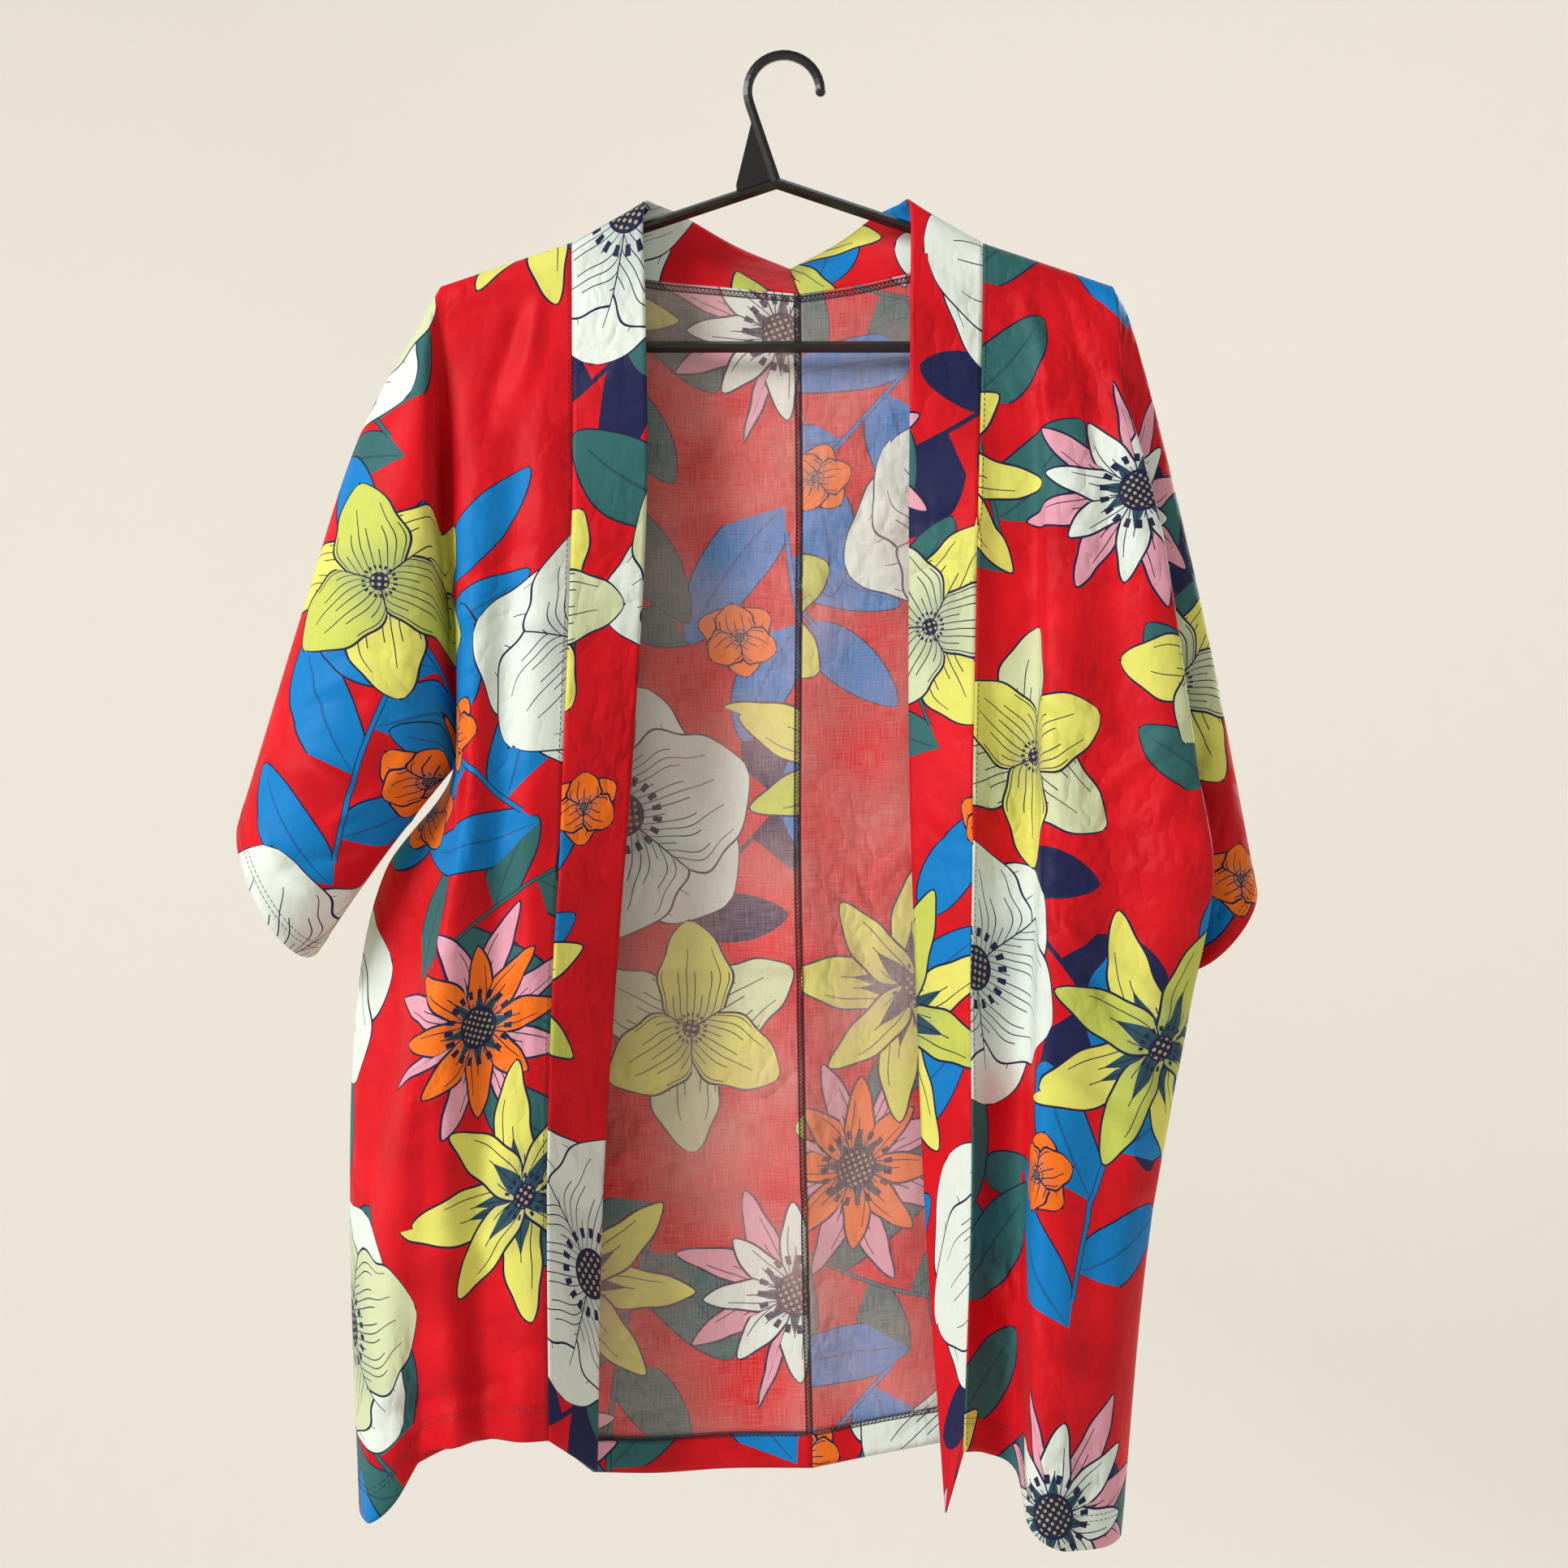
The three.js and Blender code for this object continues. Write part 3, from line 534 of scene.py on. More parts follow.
def ringOf(x, y, count, wide, long, turn):
    # petals round a middle: the one that each point belongs to, and its edge
    angle = y.do("ARCTAN2", x) + turn
    sector = (count * 0 + 2 * math.pi) / count
    number = (angle / sector).do("ROUND")
    local = angle - number * sector
    far = (x * x + y * y).do("SQRT")
    along, across = far * local.do("COSINE"), far * local.do("SINE")
    uneven = (number * 2.3 + turn).do("SINE") * petal["uneven"] + (1 - petal["uneven"])
    across = across + along * (along - long) * (number * 1.9 + turn).do("SINE") * petal["bend"]
    wave = (along * petal["waves"] + number * 2.0).do("SINE") * petal["waveDepth"] + 1.0
    edge, t, share = petalEdge(along, across, long * uneven, wide, wave)
    border = far * (sector * 0.5 - local.do("ABSOLUTE"))
    return edge, border, t, share, number


def bowOf(x, y):
    # a stalk bows to one side between its ends
    return y - (x - x * x) * leaf["bow"]


def leafOf(x, bowed, size, pairs, wide, long, back):
    # leaves in pairs up a stalk, those of one side half a step behind the other's
    side = bowed.do("SIGN")
    step = (size * 0 + leaf["stalk"]) / most(pairs, 1.0)
    start = x + side * step * leaf["stagger"]
    number = (start / step).do("FLOOR") - back
    root = number * step
    leafLong = long * ((number * 2.6 + side + size).do("SINE") * leaf["uneven"] + (1 - leaf["uneven"]))
    angle = number * -leaf["closing"] + leaf["open"]
    dx, dy = start - root, bowed.do("ABSOLUTE")
    along = dx * angle.do("COSINE") + dy * angle.do("SINE")
    across = dy * angle.do("COSINE") - dx * angle.do("SINE")
    across = across + along * (along - leafLong) * leaf["bend"]
    wave = (along * leaf["waves"] + number).do("SINE") * leaf["waveDepth"] + 1.0
    edge, t, share = petalEdge(along, across, leafLong, leafLong * wide, wave)
    return edge, along, t, share, number.above(-0.5) * root.below(leaf["tipAt"])


def closest(m, kind, x, y):
    # how near each corner is to the motif's edge, in mm, less than nothing inside it
    x, y = ArraySum(x), ArraySum(y)
    size, wide, long = (ArraySum(np.full_like(x.values, value)) for value in
                        (m["size"], kind["wide"], kind["inner"]))
    count = size * 0 + kind["count"]
    if kind["leafy"]:
        bowed = bowOf(x, y)
        half = leaf["stalk"] / 2
        onStalk = most(bowed.do("ABSOLUTE") - kind["middle"], (x - half).do("ABSOLUTE") - half)
        tip, tipLong = x - leaf["tipAt"], long * leaf["tipLong"]
        tipEdge = petalEdge(tip, bowed, tipLong, tipLong * kind["wide"], size * 0 + 1.0)[0]
        near = least(onStalk, most(tipEdge, tip * -1.0))
        for back in (1.0, 0.0):
            edge, _, _, _, grown = leafOf(x, bowed, size, count, wide, long, back)
            near = least(near, edge + (grown * -1.0 + 1.0))
    else:
        near = ringOf(x, y, count, wide, size * 0 + 1.0, size * 0)[0]
        near = least(near, ringOf(x, y, count, wide, long, size * 0 + math.pi / kind["count"])[0])
        near = least(near, (x * x + y * y).do("SQRT") - kind["middle"] * petal["dotRing"][1])
    return near.values * m["size"]


def motifPlaces(u, v):
    # the motif's own axes at flat places (faces, corners), taken whole round each face's middle
    wide, high = repeat["wide"], repeat["high"]
    for m in motifs:
        kind = motifKinds[m["kind"]]
        dx, dy = u - m["x"], v - m["y"]
        dx = dx - wide * np.round(dx.mean(axis=1, keepdims=True) / wide)
        dy = dy - high * np.round(dy.mean(axis=1, keepdims=True) / high)
        a = math.radians(m["turn"])
        x = (dx * math.cos(a) + dy * math.sin(a)) / m["size"]
        y = (dy * math.cos(a) - dx * math.sin(a)) / m["size"]
        near = np.nonzero(np.hypot(x.mean(axis=1), y.mean(axis=1)) < repeat["reach"])[0]
        touches = near[closest(m, kind, x[near], y[near]).min(axis=1) < outlineRoom]
        yield m, kind, x, y, touches


def printLayers(u, v):
    # for each face the two topmost leaf motifs and the two topmost flowers, as values for the material
    faces, corners = u.shape
    layers = {name: {value: np.zeros((faces, corners, 3)) for value in printValues} for name in layerNames}
    for m, kind, x, y, touches in motifPlaces(u, v):
        under, top = (layers[name] for name, leafy in layerNames.items() if leafy == kind["leafy"])
        for value in printValues:
            under[value][touches] = top[value][touches]
        top["Place"][touches] = np.stack([x, y, np.full_like(x, m["size"])], axis=-1)[touches]
        top["Form"][touches] = (kind["count"], kind["wide"], kind["inner"])
        top["Middle"][touches] = (1, kind["middle"], kind["strokes"])
        top["Colour"][touches] = printColours[m["colour"]]
        top["Second"][touches] = printColours[m["second"]]
    return layers


# creases left by folding and storing, in frame millimetres; face -1 is the front of the cloth
creases = rowsOf(("face", "from", "to", "wide", "deep"), [
    (-1, (178, -300), (98, -288), 4, -3.6),
    (-1, (205, -322), (140, -331), 4.8, 3.3),
    (-1, (-120, -281), (-196, -292), 4.8, 3.2),
    (-1, (-225, -318), (-168, -309), 4, -2.7),
    (-1, (168, -528), (232, -592), 6.4, 4.9),
    (-1, (184, -566), (243, -634), 5.6, -3.8),
    (-1, (150, -610), (214, -668), 7.2, 4.1),
    (-1, (160, -690), (246, -706), 6.4, -3.6),
    (-1, (-206, -470), (-196, -720), 9.6, 3.6),
    (-1, (-163, -520), (-158, -800), 8.8, -3.3),
    (-1, (-232, -560), (-222, -760), 7.2, 3),
    (-1, (-286, -430), (-236, -452), 4.8, 4.2),
    (-1, (-296, -404), (-252, -396), 4.8, -3.8),
    (-1, (-268, -470), (-226, -428), 4, 3.2),
    (-1, (236, -452), (262, -420), 4.8, -3.3),
    (-1, (196, -452), (232, -410), 5.6, 3.6),
    (-1, (-318, -470), (-282, -512), 4.5, 3.9),
    (-1, (-300, -500), (-252, -478), 4, -3.3),
    (-1, (-310, -430), (-262, -446), 5, 3.2),
    (-1, (-290, -380), (-236, -366), 5, -2.7),
    (-1, (-146, -150), (-166, -206), 6, 3.6),
    (-1, (-168, -160), (-178, -232), 6, -3),
    (-1, (150, -150), (158, -214), 6, 3.3),
    (-1, (176, -168), (196, -246), 7, -3.3),
    (-1, (132, -388), (206, -420), 6, 3),
    (-1, (-140, -352), (-204, -338), 5, 2.7),
    (-1, (128, -744), (188, -812), 8, 3.6),
    (-1, (-150, -706), (-216, -736), 7, 3),
    (-1, (-168, -800), (-246, -836), 7, -3.3),
    (-1, (-100, -262), (-128, -270), 4, 2.4),
    (-1, (-98, -322), (-130, -316), 4, -2.4),
    (-1, (82, -300), (116, -308), 4, 2.4),
    (-1, (84, -470), (112, -482), 4, -2.2),
    (1, (-30, -210), (-66, -256), 6, 3),
    (1, (70, -196), (104, -244), 6, -3),
    (1, (-52, -700), (30, -720), 8, 2.7),
    (1, (-88, -287), (14, -279), 4.8, 3.3),
    (1, (-60, -322), (66, -316), 4, -3),
    (1, (44, -268), (118, -276), 4.8, 2.7),
    (1, (-72, -560), (58, -572), 7.2, 3),
    (1, (-190, -520), (-150, -640), 8, 3.3),
    (1, (150, -480), (196, -600), 7.2, -3.3),
    (1, (94, -640), (128, -790), 9.6, 3.8),
    (1, (-270, -440), (-226, -466), 4.8, 3.3),
    (1, (214, -432), (256, -462), 4.8, -3.2),
])


creaseEnds = {"bow": 3.5, "bend": 1.3, "fade": 4, "start": 0.6, "widen": 0.5}
armClear = {"from": 8, "over": 30}      # mm below the shoulder line where creases begin


def creased(points, normals):
    # soft ridges and troughs, each fading at both ends and to its sides
    moved = np.zeros(len(points))
    x, z = points[:, 0], points[:, 2]
    for c in creases:
        start, end = np.array(c["from"], float), np.array(c["to"], float)
        line = end - start
        long = np.hypot(*line)
        line /= long
        along = ((x - start[0]) * line[0] + (z - start[1]) * line[1]) / long
        bow = creaseEnds["bow"] * np.sin(math.pi * np.clip(along, 0, 1) * creaseEnds["bend"] + start[0])
        across = (x - start[0]) * line[1] - (z - start[1]) * line[0] + bow
        wide = c["wide"] * (1 + creaseEnds["widen"] * (np.clip(along, 0, 1) - 0.5))
        end = 1.0
        for inside in (along, 1 - along):
            end = end * np.clip(inside * creaseEnds["fade"] + creaseEnds["start"], 0, 1)
        end = end * end * (3 - 2 * end)
        facing = np.clip(normals[:, 1] * c["face"], 0, 1)
        moved += c["deep"] * end * facing * np.exp(-(across / wide) ** 2)
    return points + normals * (moved * clothEase(points))[:, None]


def clothEase(points):
    # no crease where the cloth lies on the hanger's arms
    over = shoulderZ(points[:, 0]) - points[:, 2]
    return np.clip((over - armClear["from"]) / armClear["over"], 0, 1)


def weldedCloth(sheets):
    # one surface from sheets that share their edges; print values stay with each face's corners
    points, corners, us, vs = [], [], [], []
    start = 0
    for s in sheets:
        rows, columns = s["points"].shape[:2]
        at = start + np.arange(rows * columns).reshape(rows, columns)
        quads = np.stack([at[:-1, :-1], at[1:, :-1], at[1:, 1:], at[:-1, 1:]], axis=-1).reshape(-1, 4)
        corners.append(quads[:, ::-1] if s["flip"] else quads)
        points.append(s["points"].reshape(-1, 3))
        us.append(s["u"].ravel())
        vs.append(s["v"].ravel())
        start += rows * columns
    points, corners = np.concatenate(points), np.concatenate(corners)
    flatU, flatV = np.concatenate(us)[corners], np.concatenate(vs)[corners]
    keys = np.round((points + 0.000137) / 0.02).astype(np.int64)
    _, first, same = np.unique(keys, axis=0, return_index=True, return_inverse=True)
    return points[first], same.ravel()[corners], flatU, flatV


def pointNormals(points, faces):
    a, b = points[faces[:, 2]] - points[faces[:, 0]], points[faces[:, 3]] - points[faces[:, 1]]
    normals = np.zeros_like(points)
    for corner in range(4):
        np.add.at(normals, faces[:, corner], np.cross(a, b))
    return normals / np.maximum(np.linalg.norm(normals, axis=1, keepdims=True), 1e-9)


def meshOf(name, points, faces, values=None):
    # faces is (faces, corners); a corner that repeats its neighbour is dropped
    mesh = bpy.data.meshes.new(name)
    keep = faces != np.roll(faces, 1, axis=1)
    sizes = keep.sum(axis=1)
    whole = sizes > 2
    keep, sizes = keep & whole[:, None], sizes[whole]
    mesh.vertices.add(len(points))
    mesh.vertices.foreach_set("co", (points * mm).astype(np.float32).ravel())
    mesh.loops.add(int(sizes.sum()))
    mesh.loops.foreach_set("vertex_index", faces[keep].astype(np.int32))
    mesh.polygons.add(len(sizes))
    mesh.polygons.foreach_set("loop_start", np.concatenate([[0], np.cumsum(sizes)[:-1]]).astype(np.int32))
    mesh.polygons.foreach_set("loop_total", sizes.astype(np.int32))
    mesh.polygons.foreach_set("use_smooth", np.ones(len(sizes), bool))
    for key, value in (values or {}).items():
        layer = mesh.attributes.new(key, "FLOAT_VECTOR", "CORNER")
        layer.data.foreach_set("vector", value[keep].astype(np.float32).ravel())
    mesh.update(calc_edges=True)
    mesh.validate()
    piece = bpy.data.objects.new(name, mesh)
    bpy.context.scene.collection.objects.link(piece)
    return piece


def printed(flatU, flatV, shift):
    values = {"flat": np.stack([flatU, flatV, 0 * flatU], axis=-1)}
    for name, layer in printLayers(flatU + shift[0], flatV + shift[1]).items():
        for key, value in layer.items():
            values[name + key] = value
    return values


def thicken(piece, thick):
    made = piece.modifiers.new("thickness", "SOLIDIFY")
    made.thickness = thick * mm
    made.offset = 0
    made.use_even_offset = False
    made.material_offset = 1
    made.use_rim = True
    bpy.context.view_layer.objects.active = piece
    bpy.ops.object.modifier_apply(modifier=made.name)


def clothPiece(name, sheets, across, shift, thick, materials):
    points, faces, flatU, flatV = weldedCloth(sheets)
    points = creased(points, pointNormals(points, faces))
    piece = meshOf(name, points, faces, printed(flatU * across, flatV, shift))
    for material in materials:
        piece.data.materials.append(material)
    thicken(piece, thick)
    return piece


# sewing: thread and turned hems follow the creased cloth, a little off its surface
sewing = {
    "stitch": 2.5, "gap": 0.9, "thread": 0.24,
    "bandStitch": 2.6,                     # from the band's seam, on the body
    "hemStitches": (17.0, 20.5), "cuffStitches": (7.5, 11.0),
    "hemDepth": 22, "hemRows": 6, "hemStart": 0.6, "hemOff": 1.0, "hemLockOff": 1.3,
    "lockWide": 3.3, "lockStep": 2.6, "lockThread": 0.34, "lockOff": 0.5, "narrowLock": 0.8,
    "neckLockIn": 3.4, "sideLockIn": 2.8, "threadOff": 0.12, "dip": 0.2,
}


def withNormals(s):
    rows, columns = np.gradient(s["points"], axis=0), np.gradient(s["points"], axis=1)
    normals = np.cross(rows, columns)
    normals /= np.maximum(np.linalg.norm(normals, axis=-1, keepdims=True), 1e-9)
    s["normals"] = -normals if s["flip"] else normals
    return s


def besideEdge(s, edge, inset):
    # the line that runs inset mm inside an edge of a sheet, as points and outward normals
    points, normals = s["points"], s["normals"]
    if edge in ("first column", "last column"):
        points, normals = np.swapaxes(points, 0, 1), np.swapaxes(normals, 0, 1)
    if edge in ("last row", "last column"):
        points, normals = points[::-1], normals[::-1]
    far = lengthAlong(points, 0)
    line, outward = [], []
    for n in range(points.shape[1]):
        k = int(np.clip(np.searchsorted(far[:, n], inset), 1, len(points) - 1))
        t = (inset - far[k - 1, n]) / max(far[k, n] - far[k - 1, n], 1e-9)
        line.append(points[k - 1, n] * (1 - t) + points[k, n] * t)
        outward.append(normals[k - 1, n] * (1 - t) + normals[k, n] * t)
    return np.array(line), np.array(outward)


def evenly(line, outward, step):
    # the same line at even steps, laid on the creased cloth
    line = creased(line, outward)
    far = np.concatenate([[0], np.cumsum(np.linalg.norm(np.diff(line, axis=0), axis=1))])
    places = np.arange(0, far[-1], step)
    at = np.stack([np.interp(places, far, line[:, k]) for k in range(3)], axis=-1)
    out = np.stack([np.interp(places, far, outward[:, k]) for k in range(3)], axis=-1)
    return at, out / np.maximum(np.linalg.norm(out, axis=1, keepdims=True), 1e-9)


def threadMesh(runs, thick):
    # square threads through each run of points, closed at both ends
    points, faces = [], []
    for run in runs:
        run = np.asarray(run)
        way = np.gradient(run, axis=0)
        way /= np.maximum(np.linalg.norm(way, axis=1, keepdims=True), 1e-9)
        side = np.cross(way, (0.31, 0.83, 0.46))
        side /= np.linalg.norm(side, axis=1, keepdims=True)
        up = np.cross(way, side)
        start = len(points)
        for p, a, b in zip(run, side, up):
            points += [p + a * thick, p + b * thick, p - a * thick, p - b * thick]
        for n in range(len(run) - 1):
            for k in range(4):
                a, b = start + n * 4 + k, start + n * 4 + (k + 1) % 4
                faces.append((a, b, b + 4, a + 4))
        end = start + (len(run) - 1) * 4
        faces += [(start + 3, start + 2, start + 1, start), (end, end + 1, end + 2, end + 3)]
    return points, faces


def stitched(line, outward, off):
    # short stitches, each dipping into the cloth at its ends
    step = (sewing["stitch"] + sewing["gap"]) / 3
    at, out = evenly(line, outward, step)
    runs = []
    for n in range(0, len(at) - 3, 3):
        ends = [at[k] + out[k] * (off - sewing["dip"]) for k in (n, n + 2)]
        runs.append([ends[0], at[n + 1] + out[n + 1] * off, ends[1]])
    return runs


def overlocked(line, outward, off, wide):
    # a needle line along one side and a thread that loops over the cut edge
    at, out = evenly(line, outward, sewing["lockStep"] / 2)
    way = np.gradient(at, axis=0)
    across = np.cross(way, out)
    across /= np.maximum(np.linalg.norm(across, axis=1, keepdims=True), 1e-9)
    swing = np.where(np.arange(len(at)) % 2 == 0, -0.5, 0.5)[:, None] * wide
    zigzag = at + out * off + across * swing
    edges = [at + out * off + across * side * wide for side in (-0.5, 0.5)]
    return [zigzag] + edges


def threadPiece(name, runs, thick, material):
    points, faces = threadMesh(runs, thick)
    mesh = bpy.data.meshes.new(name)
    mesh.from_pydata([tuple(p * mm) for p in points], [], faces)
    piece = bpy.data.objects.new(name, mesh)
    bpy.context.scene.collection.objects.link(piece)
    mesh.materials.append(material)
    return piece


def hemFold(sheet, depth):
    # the hem turned up inside: a narrow sheet from the edge up, facing the wearer
    insets = np.linspace(sewing["hemStart"], depth, sewing["hemRows"])
    lines = [besideEdge(sheet, "last row", inset) for inset in insets]
    points = np.stack([creased(line, outward) - outward * sewing["hemOff"] for line, outward in lines])
    u = sheet["u"][-1][None, :] + 0 * points[..., 0]
    v = sheet["v"][-1][None, :] + insets[:, None] * np.sign(sheet["v"][-1].mean())
    return {"points": points, "u": u, "v": v, "flip": sheet["flip"]}


def sewHalf(side, half, sheets, shift, thread, face):
    named = {s["name"]: withNormals(s) for s in sheets}
    front, back, centre = named["front"], named["back"], named["centre"]
    off = cloth["thick"] / 2 + sewing["threadOff"]
    runs = stitched(*besideEdge(front, "first column", sewing["bandStitch"]), off)
    runs += stitched(*besideEdge(centre, "first row", sewing["bandStitch"]), off)
    for inset in sewing["hemStitches"]:
        for s in (front, back, centre):
            runs += stitched(*besideEdge(s, "last row", inset), off)
    for inset in sewing["cuffStitches"]:
        for s in (named["frontSleeve"], named["backSleeve"]):
            runs += stitched(*besideEdge(s, "last column", inset), off)
    stitches = threadPiece(f"stitches_{side}", runs, sewing["thread"], thread)
    lockRuns = []
    wide, narrow = sewing["lockWide"], sewing["lockWide"] * sewing["narrowLock"]
    onHem, onSeam = (-(cloth["thick"] / 2 + sewing[key]) for key in ("hemLockOff", "lockOff"))
    for s in (front, back, centre):
        lockRuns += overlocked(*besideEdge(s, "last row", sewing["hemDepth"]), onHem, narrow)
    lockRuns += overlocked(*besideEdge(centre, "first row", sewing["neckLockIn"]), onSeam, wide)
    if side == "right":      # the centre back seam's two edges are locked together
        lockRuns += overlocked(*besideEdge(centre, "last column", wide / 2), onSeam, wide)
    for s, edge in ((front, "last column"), (named["frontSleeve"], "last row")):
        line, outward = besideEdge(s, edge, sewing["sideLockIn"])
        if s is front:      # its last column is the side seam from the underarm down
            line, outward = line[::-1][len(armRows):], outward[::-1][len(armRows):]
        lockRuns += overlocked(line, outward, onSeam, narrow)
    lock = threadPiece(f"overlock_{side}", lockRuns, sewing["lockThread"], thread)
    folds = [hemFold(s, sewing["hemDepth"]) for s in (front, back, centre)]
    points, faces, flatU, flatV = weldedCloth(folds)
    hem = meshOf(f"hem_{side}", points, faces, printed(flatU * half["side"], flatV, shift))
    hem.data.materials.append(face)
    hem.data.materials.append(face)
    thicken(hem, cloth["thick"])
    for piece in (stitches, lock, hem):
        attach(piece, "root")
    return [stitches, lock, hem]


# materials: each is worked out by nodes from the values on the cloth's corners
def node(tree, kind, **settings):
    made = tree.nodes.new(kind)
    for key, value in settings.items():
        setattr(made, key, value)
    return made


def blend(tree, amount, under, over):
    # colours: over laid on under by amount
    mix = node(tree, "ShaderNodeMix", data_type="RGBA")
    tree.links.new(amount.socket, mix.inputs["Factor"])
    for name, value in (("A", under), ("B", over)):
        slot = next(s for s in mix.inputs if s.name == name and s.type == "RGBA")
        if isinstance(value, tuple):
            slot.default_value = (*value, 1)
        else:
            tree.links.new(value, slot)
    return next(s for s in mix.outputs if s.type == "RGBA")


def clothValue(tree, name):
    return node(tree, "ShaderNodeAttribute", attribute_name=name).outputs["Vector"]


def split(tree, vector):
    parts = node(tree, "ShaderNodeSeparateXYZ")
    tree.links.new(vector, parts.inputs[0])
    return [NodeSum(tree, socket) for socket in parts.outputs]


def noiseAt(tree, vector, scale, detail=2.0):
    made = node(tree, "ShaderNodeTexNoise")
    made.inputs["Scale"].default_value = scale
    made.inputs["Detail"].default_value = detail
    tree.links.new(vector, made.inputs["Vector"])
    return NodeSum(tree, made.outputs["Fac"])


def scaled(tree, vector, amounts):
    made = node(tree, "ShaderNodeVectorMath", operation="MULTIPLY")
    tree.links.new(vector, made.inputs[0])
    made.inputs[1].default_value = amounts
    return made.outputs[0]


pen = {
    "line": 0.75, "stroke": 0.36,      # mm
    "ink": (0.012, 0.014, 0.055), "shade": (0.16, 0.20, 0.20), "throat": (0.02, 0.07, 0.10),
    "seed": (0.40, 0.34, 0.18),
}


def strokesOn(t, share, strokes, number, size, wide):
    # pen strokes that run up a petal from its foot, each to its own length
    lane = share * strokes * 0.5
    place = (lane - lane.do("ROUND")).do("ABSOLUTE") / most(strokes, 1.0) * 2.0 * wide * size
    length = (lane.do("ROUND") * 4.7 + number * 3.1).do("SINE") * 0.22 + 0.52
    return place.below(pen["stroke"]) * t.below(length) * share.do("ABSOLUTE").below(0.93)


def flowerOn(tree, layer, under):
    x, y, size = split(tree, clothValue(tree, layer + "Place"))
    count, wide, inner = split(tree, clothValue(tree, layer + "Form"))
    real, middle, strokes = split(tree, clothValue(tree, layer + "Middle"))
    line = (size * 0 + pen["line"]) / most(size, 1.0)
    petals = most(count, 1.0)
    halfTurn = (petals * 0 + math.pi) / petals
    far = (x * x + y * y).do("SQRT")
    out = under
    rings = (("Colour", size * 0 + 1.0, size * 0), ("Second", inner, halfTurn))
    for tone, long, turn in rings:
        edge, border, t, share, number = ringOf(x, y, petals, wide, long, turn)
        inside = edge.below(0.0) * real
        shaded = blend(tree, held(t * -2.0 + 0.9) * 0.6, clothValue(tree, layer + tone), pen["shade"])
        wedge = (share.do("ABSOLUTE") + t * 1.7).below(0.78) * strokes.below(4.5)
        shaded = blend(tree, wedge, shaded, pen["throat"])
        outline = edge.do("ABSOLUTE").below(line) * real
        fold = border.below(line * 0.6) * inside
        hatch = strokesOn(t, share, strokes, number, size, wide) * inside
        out = blend(tree, inside, out, shaded)
        out = blend(tree, most(most(outline, fold), hatch), out, pen["ink"])
    dots = ((y.do("ARCTAN2", x) * petal["dots"]).do("SINE").above(0.1)
            * far.below(middle * petal["dotRing"][1]) * far.above(middle * petal["dotRing"][0]))
    out = blend(tree, most(far.below(middle), dots) * real, out, pen["ink"])
    seeds = ((x * petal["seeds"]).do("SINE") * (y * petal["seeds"]).do("SINE")).above(0.35)
    return blend(tree, seeds * far.below(middle * petal["seedDisc"]) * real, out, pen["seed"])


def sprayOn(tree, layer, under):
    x, y, size = split(tree, clothValue(tree, layer + "Place"))
    pairs, wide, long = split(tree, clothValue(tree, layer + "Form"))
    real, stem, _ = split(tree, clothValue(tree, layer + "Middle"))
    colour = clothValue(tree, layer + "Colour")
    line = (size * 0 + pen["line"] * 0.8) / most(size, 1.0)
    bowed = bowOf(x, y)
    out = under
    for back in (1.0, 0.0):
        edge, along, t, share, grown = leafOf(x, bowed, size, pairs, wide, long, back)
        grown = grown * real
        out = blend(tree, edge.below(0.0) * grown, out, colour)
        vein = share.do("ABSOLUTE").below(0.045) * t.below(0.86) * t.above(0.04)
        outline = edge.do("ABSOLUTE").below(line) * along.above(0.0)
        out = blend(tree, most(vein * 0.45, outline) * grown, out, pen["ink"])
    tip, tipLong = x - leaf["tipAt"], long * leaf["tipLong"]
    edge, t, share = petalEdge(tip, bowed, tipLong, tipLong * wide, size * 0 + 1.0)
    out = blend(tree, edge.below(0.0) * real * tip.above(0.0), out, colour)
    out = blend(tree, edge.do("ABSOLUTE").below(line) * real * tip.above(0.0), out, pen["ink"])
    onStalk = bowed.do("ABSOLUTE") - stem
    stalk = x.above(0.0) * x.below(leaf["stalk"]) * real
    out = blend(tree, onStalk.below(line) * stalk, out, pen["ink"])
    return blend(tree, onStalk.below(0.0) * stalk, out, colour)


def bumpOf(tree, height, strength, deep):
    made = node(tree, "ShaderNodeBump")
    made.inputs["Strength"].default_value = strength
    made.inputs["Distance"].default_value = deep * mm
    tree.links.new(height.socket, made.inputs["Height"])
    return made


clothLook = {
    "red": (0.72, 0.004, 0.012), "deepRed": (0.50, 0.0, 0.006),
    "faded": (0.60, 0.40, 0.37), "fadedShare": 0.22, "patchy": 0.9,      # the wrong side
    "rough": 0.58, "shine": 0.16, "fuzz": 0.03,
    "cloud": 0.02, "patch": 0.012,                      # noise sizes, in turns a millimetre
    "slub": (0.06, 1.6, 1), "cross": (1.6, 0.06, 1), "weaveDeep": 0.3, "weaveStrength": 0.3,
    "crumple": 8.0, "crumpleStrength": 0.6,             # depths in mm
    "longCrumple": (0.011, 0.017, 1), "smallCrumple": (0.05, 0.032, 1), "where": (0.006, 0.007, 1),
}


